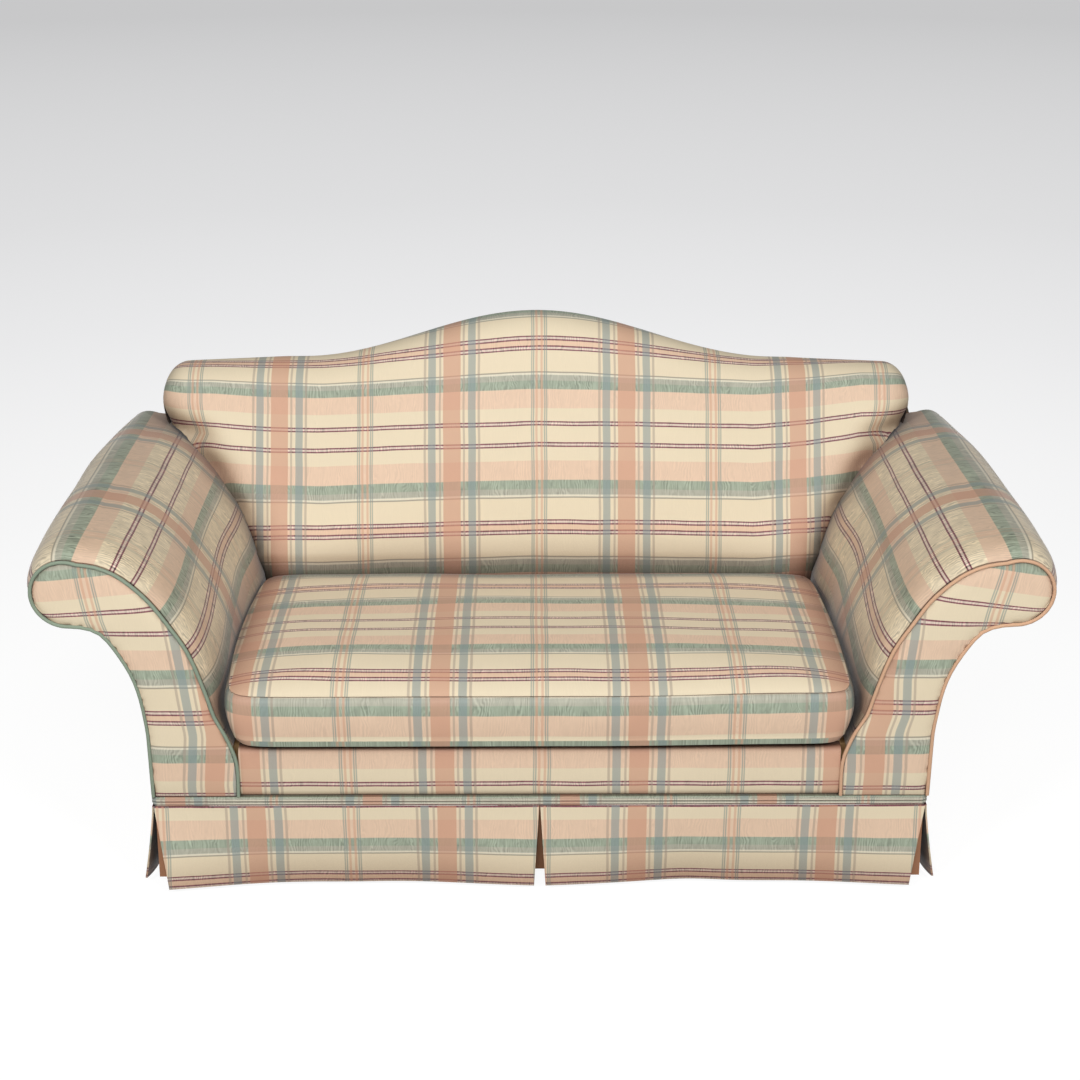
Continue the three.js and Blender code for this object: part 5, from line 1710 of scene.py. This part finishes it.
@dataclass
class Cushion:
    """Loose box cushion with its foam core and the zipper in its rear boxing."""

    sizes: Sizes
    finishes: Finishes
    half_width: float = 0.577
    depth: float = 0.5677
    overhang: float = 0.012
    back_taper: float = 0.007
    corner: float = 0.044
    boxing: float = 0.0945
    crown: float = 0.029
    under_crown: float = 0.020
    under_round: float = 0.0195
    under_reach: float = 0.009
    corner_bulge: float = 0.009
    draw_in: float = 0.002
    boxing_draw: float = -0.0090
    ridge: float = 0.0018
    groove: float = 0.0020
    front_drop: float = 0.013
    side_bulges: Pair = (0.020, 0.014)  # left and right
    cover: float = 0.008
    crease: float = 55.0
    top_weft: float = 0.2415  # cloth coordinates of the top panel, boxing and underside at their seams
    boxing_weft: float = 0.2622
    under_weft: float = 0.108
    zipper_half: float = 0.450
    zipper_width: float = 0.014
    around: int = 320
    top_scales: tuple[float, ...] = (0.02, 0.12, 0.25, 0.38, 0.5, 0.6, 0.69, 0.77, 0.83, 0.88, 0.915, 0.94,
                                     0.958, 0.972, 0.983, 0.990, 0.995)
    under_scales: tuple[float, ...] = (0.9985, 0.996, 0.991, 0.984, 0.974, 0.96, 0.94, 0.90, 0.84, 0.75,
                                       0.6, 0.4, 0.2, 0.02)

    @property
    def middle(self) -> float:
        """Depth of the cushion's middle."""
        return self.depth / 2 - self.overhang

    @property
    def under_seam(self) -> float:
        """Height of the lower seam above the deck."""
        return self.sizes.gap + self.under_crown

    @property
    def upper_seam(self) -> float:
        """Height of the upper seam above the deck."""
        return self.under_seam + self.boxing

    def edge(self, inset: float, count: int) -> Array:
        """Give the plan outline, from the middle of the rear round by the left.

        Args:
            inset: Distance that the outline is drawn in.
            count: Number of points.

        Returns:
            X and Y of each point.
        """
        angle = math.pi / 2 + TURN * np.arange(count) / count
        c, s = np.cos(angle), np.sin(angle)
        corner = self.corner - inset
        half_depth, half_width = self.depth / 2 - inset, self.half_width - inset

        def power(half: float) -> float:
            """Power that gives the corner its radius."""
            return math.log(2) / math.log(half / (half - corner * (1 - math.sqrt(0.5))))

        x = np.sign(c) * np.abs(c) ** (2 / power(half_width))
        y = np.sign(s) * np.abs(s) ** (2 / power(half_depth))
        taper = self.back_taper * (1 + y) / 2
        side_bow = self.draw_in * (1 - y * y) * np.abs(x) ** 8
        end_share = np.where(s > 0, 0.75, 0.25)
        end_bow = self.draw_in * (1 - x * x) * np.abs(y) ** 8 * end_share
        half_width, half_depth = half_width - taper - side_bow, half_depth - end_bow
        return np.column_stack([x * half_width, self.middle + y * half_depth])

    def even_edge(self, inset: float, count: int) -> Array:
        """Give the plan outline with its points spread evenly.

        Args:
            inset: Distance that the outline is drawn in.
            count: Number of points.

        Returns:
            X and Y of each point.
        """
        dense = self.edge(inset, 8 * count)
        closed = np.vstack([dense, dense[:1]])
        return points_at(closed, np.linspace(0, run_along(closed)[-1], count + 1)[:-1])

    def crown_at(self, scale: float) -> float:
        """Give the rise of the top panel at a share of the way from the middle to the edge."""
        return self.crown * (0.70 * (1 - scale ** 3) + 0.30 * (1 - scale ** 14))

    def under_fall(self, scale: float) -> float:
        """Give the drop of the underside at a share of the way from the middle to the edge.

        Args:
            scale: Share of the way.

        Returns:
            Drop below the lower seam.
        """
        inset = (1 - scale) * self.depth / 2
        turn = math.sqrt(1 - (1 - min(inset / self.under_reach, 1)) ** 2)
        rest = self.under_crown - self.under_round
        return self.under_round * turn + rest * float(smooth_step(inset, 0.0, 0.05)) - 0.0002

    def rings(self, inset: float, ridge: float, count: int, levels: Sequence[float]
              ) -> tuple[Array, int, int]:
        """Give the level rings of the stuffed form, from the top's middle to the underside's middle.

        Args:
            inset: Distance that the whole form is drawn in.
            ridge: How far the seams stand out.
            count: Points in each ring.
            levels: Shares of the boxing's height that get a ring, from the top.

        Returns:
            The rings, and the indices of the upper and lower seam.
        """
        outline = self.even_edge(inset, count)
        seam = self.even_edge(inset - ridge, count)
        groove = self.even_edge(inset + (self.groove if ridge else 0.0), count)
        middle = np.array([0.0, self.middle])
        upper, under = self.upper_seam - inset, self.under_seam + inset
        rows = [(outline, scale, upper + self.crown_at(scale) + 0.0004) for scale in self.top_scales]
        rows.append((outline, 1.0, upper + 0.0008))
        top = len(rows)
        rows += [(groove, 1.0, upper - 0.0002), (outline, 1.0, upper - 0.0014)]
        for share in levels:
            draw = self.boxing_draw * math.sin(math.pi * share ** 0.6) ** 0.8
            rows.append((self.even_edge(inset + draw, count), 1.0, upper - share * (upper - under)))
        rows.append((seam, 1.0, under + 0.0016))
        bottom = len(rows)
        rows.append((seam, 1.0, under - 0.0004))
        rows += [(outline, scale, under - self.under_fall(scale)) for scale in self.under_scales]
        rings = [joined(*(middle + (flat - middle) * scale).T, height) for flat, scale, height in rows]
        return np.array(rings), top, bottom

    def raked(self, points: Array) -> Array:
        """Lay points of the cushion's own frame on the raked deck.

        Args:
            points: Points of the cushion.

        Returns:
            The points on the sofa.
        """
        x, y, z = np.moveaxis(points, -1, 0)
        cos, sin = math.cos(self.sizes.rake), math.sin(self.sizes.rake)
        return joined(x, y * cos + z * sin, self.sizes.deck_front - y * sin + z * cos)

    def softened(self, rings: Array, top: int, bottom: int) -> Array:
        """Add the puckers at the corners and the soft unevenness of the fill.

        Args:
            rings: Rings of the form.
            top: Index of the upper seam.
            bottom: Index of the lower seam.

        Returns:
            The changed rings.
        """
        made = rings.copy()
        seam = rings[top]
        corner_x = np.array([-1, -1, 1, 1]) * (self.half_width - self.corner * 0.35)
        corner_y = np.array([1, -1, -1, 1]) * (self.depth / 2 - self.corner * 0.35) + self.middle
        x, y = rings[..., 0], rings[..., 1]
        gap = np.min(np.hypot(x[..., None] - corner_x, y[..., None] - corner_y), axis=-1)
        run = run_along(seam)
        folds = np.sin(run * TURN / 0.026 + np.sin(run * TURN / 0.09))
        middle = np.array([0.0, self.middle])
        outward = seam[:, :2] - middle
        outward /= np.linalg.norm(outward, axis=1)[:, None]
        index = np.arange(len(rings))
        near_seam = np.exp(-np.abs(index - top) / 2.2) + np.exp(-np.abs(index - bottom) / 2.2)
        amount = -0.0016 * near_seam[:, None] * np.exp(-gap / 0.055) * np.maximum(folds, -0.2)
        made[..., :2] += outward * amount[..., None]
        front = rings[top, :, 1].min()
        side_share = smooth_step(np.abs(x), self.half_width - 0.05, self.half_width - 0.005)
        near_front = np.exp(-((y - front) / 0.05) ** 2)
        level_share = np.exp(-((index - (top + bottom) / 2) / (bottom - top) / 0.55) ** 2)[:, None]
        made[..., 0] += self.corner_bulge * side_share * near_front * level_share * np.sign(x)
        left, right = self.side_bulges
        hang = np.clip((bottom - index) / (bottom - top), 0, 1)[:, None]
        sides = np.where(x < 0, -left, right) * smooth_step(np.abs(x), 0.30, self.half_width)
        rearward = np.clip((y - front) / (self.depth * 1.06), 0, 1)
        made[..., 0] += sides * hang * np.sin(math.pi * rearward) ** 0.8
        fade = np.clip(1 - (y - front) / 0.16, 0, 1) ** 1.8
        fade = fade * (1 - 0.45 * smooth_step(x, 0.10, 0.50))
        made[..., 2] -= (0.009 + (self.front_drop - 0.009) * hang) * (index < bottom + 4)[:, None] * fade
        loose = unevenness(rings, 0.34, 5.1)
        made[:top, :, 2] += 0.0022 * loose[:top] * (1 - np.arange(top) / top)[:, None] ** 0.3
        boxing = slice(top + 2, bottom)
        side = np.exp(-((index[boxing] - (top + bottom) / 2) / 4.0) ** 2)[:, None]
        uneven = 0.0012 * side * unevenness(rings, 0.16, 1.9)[boxing]
        made[boxing, :, :2] += outward * uneven[..., None]
        return made

    def front_run(self, rings: Array, top: int) -> Callable[[Array], Array]:
        """Give the length over the top panel from the front seam to a depth.

        Args:
            rings: Rings of the form.
            top: Index of the upper seam.

        Returns:
            Function that gives the length at depths.
        """
        half = rings.shape[1] // 2
        profile = np.vstack([rings[top - 1::-1, half, 1:], rings[:top, 0, 1:]])
        order = np.argsort(profile[:, 0])
        run = run_along(profile[order])
        places = profile[order][:, 0]
        return lambda y: np.interp(y, places, run)

    def run_round(self, ring: Array) -> Array:
        """Give the cloth's length from the front middle round to each point of a ring.

        Args:
            ring: Points of one level ring.

        Returns:
            Lengths, negative on the left half, with one more for the first point again.
        """
        closed = np.vstack([ring, ring[:1]])
        step = np.abs(np.diff(closed, axis=0))
        straight = (closed[:-1, 1] < self.middle) & (np.abs(closed[:-1, 0]) < self.half_width - 0.07)
        spans = np.where(straight, step[:, 0], np.hypot(step[:, 0], step[:, 1]))
        run = np.concatenate([[0], np.cumsum(spans)])
        return run - run[len(ring) // 2] + ring[len(ring) // 2, 0]

    def cover_piece(self) -> None:
        """Make the boxed cover, open at the zipper."""
        slot_share = self.zipper_width / 2 / self.boxing
        levels = (0.05, 0.12, 0.2, 0.29, 0.37, 0.5 - slot_share, 0.5, 0.5 + slot_share, 0.63, 0.71, 0.8,
                  0.88, 0.95)
        rings, top, bottom = self.rings(0.0, self.ridge, self.around, levels)
        rings = self.softened(rings, top, bottom)
        count = self.around
        around = np.array([self.run_round(ring) for ring in rings])
        ringed = np.concatenate([rings, rings[:, :1]], axis=1)
        x, y, z = np.moveaxis(ringed, -1, 0)
        start = np.where(np.arange(len(rings)) >= bottom, self.under_weft, self.top_weft)[:, None]
        reach = self.front_run(rings, top)(y)
        ease = 0.011 + 0.012 * smooth_step(np.abs(x), 0.30, 0.55)
        flat = joined(x * 1.006 + 0.1875, start - reach + ease * (1 - np.exp(-reach / 0.07)))
        boxing = joined(around * 1.018 + 0.188, self.boxing_weft + (z[top] - z) * 0.9)
        made = Surface()
        made.add_points(self.raked(rings))
        slot_top, slot_bottom = top + 7, top + 9
        slot_half = self.zipper_half + 0.004
        for i in range(len(rings) - 1):
            cloth = boxing if top <= i < bottom else flat
            for j in range(count):
                k = (j + 1) % count
                in_slot = slot_top <= i < slot_bottom and rings[i, j, 1] > self.middle
                if in_slot and max(abs(rings[i, j, 0]), abs(rings[i, k, 0])) < slot_half:
                    continue
                made.add_face((i * count + j, (i + 1) * count + j, (i + 1) * count + k, i * count + k),
                              (cloth[i, j], cloth[i + 1, j], cloth[i + 1, j + 1], cloth[i, j + 1]))
        for i in (0, len(rings) - 1):
            made.add_face(range(i * count, (i + 1) * count), flat[i, :count])
        cover = make_object("cushion_cover_cloth", made, self.crease)
        apply_modifier(cover, "SOLIDIFY", thickness=self.cover, offset=-1.0, use_rim=True)
        finish_mesh(cover.data, self.crease)
        Piece("cushion_cover", Slot.PLAID, "cushion", 0.8).declare(cover, self.finishes.plaid)

    def core_piece(self) -> None:
        """Make the foam core."""
        rings, _, _ = self.rings(self.cover + 0.001, 0.0, 120, (0.1, 0.3, 0.5, 0.7, 0.9))
        made = make_object("cushion_core_foam", tube(self.raked(rings)), self.crease)
        Piece("cushion_core", Slot.FOAM, "cushion", 0.9).declare(made, self.finishes.foam)

    def zipper(self) -> None:
        """Make the zipper's tape with its teeth, and the slider."""
        rear_face = self.depth - self.overhang - self.boxing_draw
        front = rear_face - self.cover
        middle = (self.upper_seam + self.under_seam) / 2
        gap, thick = self.sizes.gap, 0.0016
        half, height = self.zipper_half - gap, self.zipper_width / 2 - gap
        pitch = teeth = 0.0030
        section = [(0, -height), (0, height),
                   *((thick, z) for z in (height, teeth, -teeth, -height))]
        rings = np.array([[(x, front + y, middle + z) for y, z in section]
                          for x in np.linspace(-half, half, 160)])
        made = tube(self.raked(rings), rings[..., ::2])
        for i in range(int(2 * half / pitch) - 1):
            x = -half + pitch * (i + 1)
            lift = 0.0011 if i % 2 else -0.0011
            box = np.array([[(x + a * 0.00085, front + b, middle + lift + c * 0.0022)
                             for a, c in SQUARE]
                            for b in (thick - 0.0001, thick + 0.0009)])
            start = made.add_points(self.raked(box))
            for face in ((0, 1, 2, 3), (4, 5, 6, 7), (0, 1, 5, 4), (1, 2, 6, 5), (2, 3, 7, 6),
                         (3, 0, 4, 7)):
                made.add_face([start + corner for corner in face], [(x, 0.0)] * 4)
        tape_object = make_object("zipper_tape_cloth", made, 30.0)
        Piece("zipper_tape", Slot.ZIPPER_TAPE, "cushion").declare(
            tape_object, self.finishes.zipper_tape)
        self.slider(front + 0.0025 + gap, middle)

    def slider(self, front: float, middle: float) -> None:
        """Make the slider: a shield-shaped body with a bridge over it.

        Args:
            front: Depth of its face against the tape.
            middle: Height of its middle.
        """
        centre = -self.zipper_half + 0.021
        near = [(-0.007, -0.0030), (-0.003, -0.0048), (0.004, -0.0050), (0.007, -0.0032)]
        outline = [*near, *((x, -z) for x, z in reversed(near))]
        steps = ((0.0, 0.94), (0.0005, 1.0), (0.0019, 1.0), (0.0024, 0.93))
        plate = np.array([[(centre + x * share, front + y, middle + z * share) for x, z in outline]
                          for y, share in steps])
        made = tube(self.raked(plate))
        arch = []
        for turn in np.linspace(0, math.pi, 13):
            x, y = centre + 0.0048 * math.cos(turn), front + 0.0022 + 0.0015 * math.sin(turn)
            thick_x, thick_y = 0.0005 * math.cos(turn), 0.0004 * math.sin(turn)
            arch.append([(x + a * thick_x, y + a * thick_y, middle + b * 0.0012) for a, b in SQUARE])
        made.join(tube(self.raked(np.array(arch))))
        slider = make_object("zipper_slider_body", made, 30.0)
        Piece("zipper_slider", Slot.ZIPPER_METAL, "zipper_slider").declare(
            slider, self.finishes.zipper_metal)

    def build(self) -> None:
        """Make every piece of the cushion."""
        self.cover_piece()
        self.core_piece()
        self.zipper()


@dataclass
class HardFrame:
    """Finishes for the wooden frame, springs and glides, which keep their CAD shapes."""

    nodes: dict[str, Thing]
    finishes: Finishes

    def axis_of(self, name: str) -> str:
        """Give the longest axis of a node, which its grain follows."""
        spans = [high - low for low, high in zip(*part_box(name))]
        return "xyz"[spans.index(max(spans))]

    def dress(self) -> None:
        """Give each hard node its material."""
        wooden = ("rail", "post", "stile", "stump", "block", "leg")
        for name, node in self.nodes.items():
            if name.endswith("springs"):
                finish = self.finishes.steel
            elif name.endswith("glide"):
                finish = self.finishes.glide
            elif name.endswith(wooden):
                finish = self.finishes.hardwood[self.axis_of(name)]
            else:
                continue
            node.data.materials.clear()
            node.data.materials.append(finish)
            log.info("%s: %s", name, finish.name)


# Studio


def aim(name: str, data: bpy.types.ID, place: Sequence[float], ahead: Vector) -> Thing:
    """Put a camera or lamp in the scene, looking one way.

    Args:
        name: Name of the object.
        data: Its camera or lamp.
        place: Where it stands.
        ahead: Direction in which it looks.

    Returns:
        The new object.
    """
    made = bpy.data.objects.new(name, data)
    made.location = place
    made.rotation_euler = ahead.to_track_quat("-Z", "Y").to_euler()
    bpy.context.scene.collection.objects.link(made)
    return made


@dataclass(frozen=True)
class Lamp:
    """One soft area lamp."""

    name: str
    place: tuple[float, float, float]
    size: float
    power: float
    target: tuple[float, float, float] = (0.0, 0.0, 0.4)

    def build(self) -> None:
        """Put the lamp in the scene."""
        data = bpy.data.lights.new(self.name, "AREA")
        data.shape = "DISK"
        data.size = self.size
        data.energy = self.power
        aim(self.name, data, self.place, Vector(self.target) - Vector(self.place))


@dataclass
class Studio:
    """Camera, pale floor, world and lamps."""

    place: tuple[float, float, float] = (-0.0143, -3.5513, 2.0353)
    pitch: float = 0.3957
    turn: float = 0.0047
    focal_pixels: float = 1896.1
    frame_pixels: float = 1080.0
    sensor: float = 36.0
    world_strength: float = 0.11
    lamps: tuple[Lamp, ...] = (
        Lamp("left_lamp", (-2.0, -3.2, 2.9), 1.0, 75.0),
        Lamp("right_lamp", (2.0, -3.2, 2.9), 1.0, 71.0),
        Lamp("front_lamp", (-0.2, -3.6, 2.8), 1.4, 50.0),
        Lamp("top_lamp", (0.0, -0.2, 3.6), 2.0, 12.0, (0.0, 0.1, 0.4)),
    )

    def camera(self) -> None:
        """Put the camera at the photograph's viewing angle."""
        data = bpy.data.cameras.new("camera")
        data.sensor_width = self.sensor
        data.lens = self.focal_pixels / self.frame_pixels * self.sensor
        data.clip_end = 100.0
        level = math.cos(self.pitch)
        ahead = Vector((math.sin(self.turn) * level, math.cos(self.turn) * level, -math.sin(self.pitch)))
        bpy.context.scene.camera = aim("camera", data, self.place, ahead)

    def floor(self) -> None:
        """Lay the pale floor, which keeps a faint shadow."""
        radius = 16.0
        turns = np.linspace(0, TURN, 97)[:-1]
        points = [(radius * math.cos(a), radius * math.sin(a), 0.0) for a in turns]
        mesh = bpy.data.meshes.new("floor")
        mesh.from_pydata(points, [], [tuple(range(len(points)))])
        floor = bpy.data.objects.new("floor", mesh)
        bpy.context.scene.collection.objects.link(floor)
        g = Graph(bpy.data.materials.new("floor"))
        place = g.object_place()
        reach = g.node("VectorMath", {0: place}, operation="LENGTH").outputs["Value"]
        share = g.maths("DIVIDE", reach, radius)
        stops = [(0.0, colour("ffffff")), (0.085, colour("fdfdfd")), (0.235, colour("ededee")),
                 (0.35, colour("e3e3e4")), (0.80, colour("cdcdce"))]
        shade = g.ramp(share, stops).outputs[0]
        glow = g.node("Emission", {0: shade, 1: 0.93})
        matt = g.node("BsdfDiffuse", {0: g.mix(0.86, shade, colour("000000"))})
        shown = g.node("AddShader", {0: glow.outputs[0], 1: matt.outputs[0]})
        pale = g.node("BsdfDiffuse", {0: colour("a6a4a0")})
        path = g.node("LightPath").outputs
        seen = g.maths("MAXIMUM", path["Is Camera Ray"], path["Is Glossy Ray"])
        seen = g.maths("MAXIMUM", seen, path["Is Transmission Ray"])
        both = g.node("MixShader", {0: seen, 1: pale.outputs[0], 2: shown.outputs[0]})
        g.feed(g.tree.nodes["Material Output"], "Surface", both.outputs[0])
        g.tree.nodes.remove(g.shader)
        mesh.materials.append(g.owner)

    def world(self) -> None:
        """Set the soft light from all round, and the pale sky that the camera sees."""
        world = bpy.context.scene.world = bpy.data.worlds.new("studio")
        g = Graph(world)
        g.tree.nodes.clear()
        camera_ray = g.node("LightPath").outputs["Is Camera Ray"]
        lit = g.node("Background", {0: colour("fbfaf8"), 1: self.world_strength})
        seen = g.node("Background", {0: colour("cdcdce"), 1: 1.0})
        both = g.node("MixShader", {0: camera_ray, 1: lit.outputs[0], 2: seen.outputs[0]})
        g.node("OutputWorld", {0: both.outputs[0]})

    def build(self) -> None:
        """Set up the whole studio."""
        bpy.context.scene.view_settings.view_transform = "Standard"
        self.camera()
        self.floor()
        self.world()
        for lamp in self.lamps:
            lamp.build()


def main() -> None:
    """Build the sofa and its studio."""
    logging.basicConfig(level=logging.INFO, format="%(name)s: %(message)s")
    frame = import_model()
    finishes = Finishes()
    sizes = Sizes()
    arm_shape = ArmShape(sizes)
    Studio().build()
    Arm(Side.LEFT, arm_shape, finishes).build()
    Arm(Side.RIGHT, arm_shape, finishes, push=0.011, open_out=0.014, weft_tilt=0.16,
        warp_line=((0.26, 0.632), (0.443, 0.6234), (0.545, 0.632), (0.575, 0.6365), (0.661, 0.6544)),
        weft_line=((0.192, 0.390), (0.3858, 0.195), (0.580, 0.0), (0.700, -0.12))).build()
    Back(CamelShape(sizes), arm_shape, finishes).build()
    SeatBase(sizes, finishes).build()
    Skirt(sizes, finishes).build()
    Cushion(sizes, finishes).build()
    HardFrame(frame["nodes"], finishes).dress()


if __name__ == "__main__":
    main()
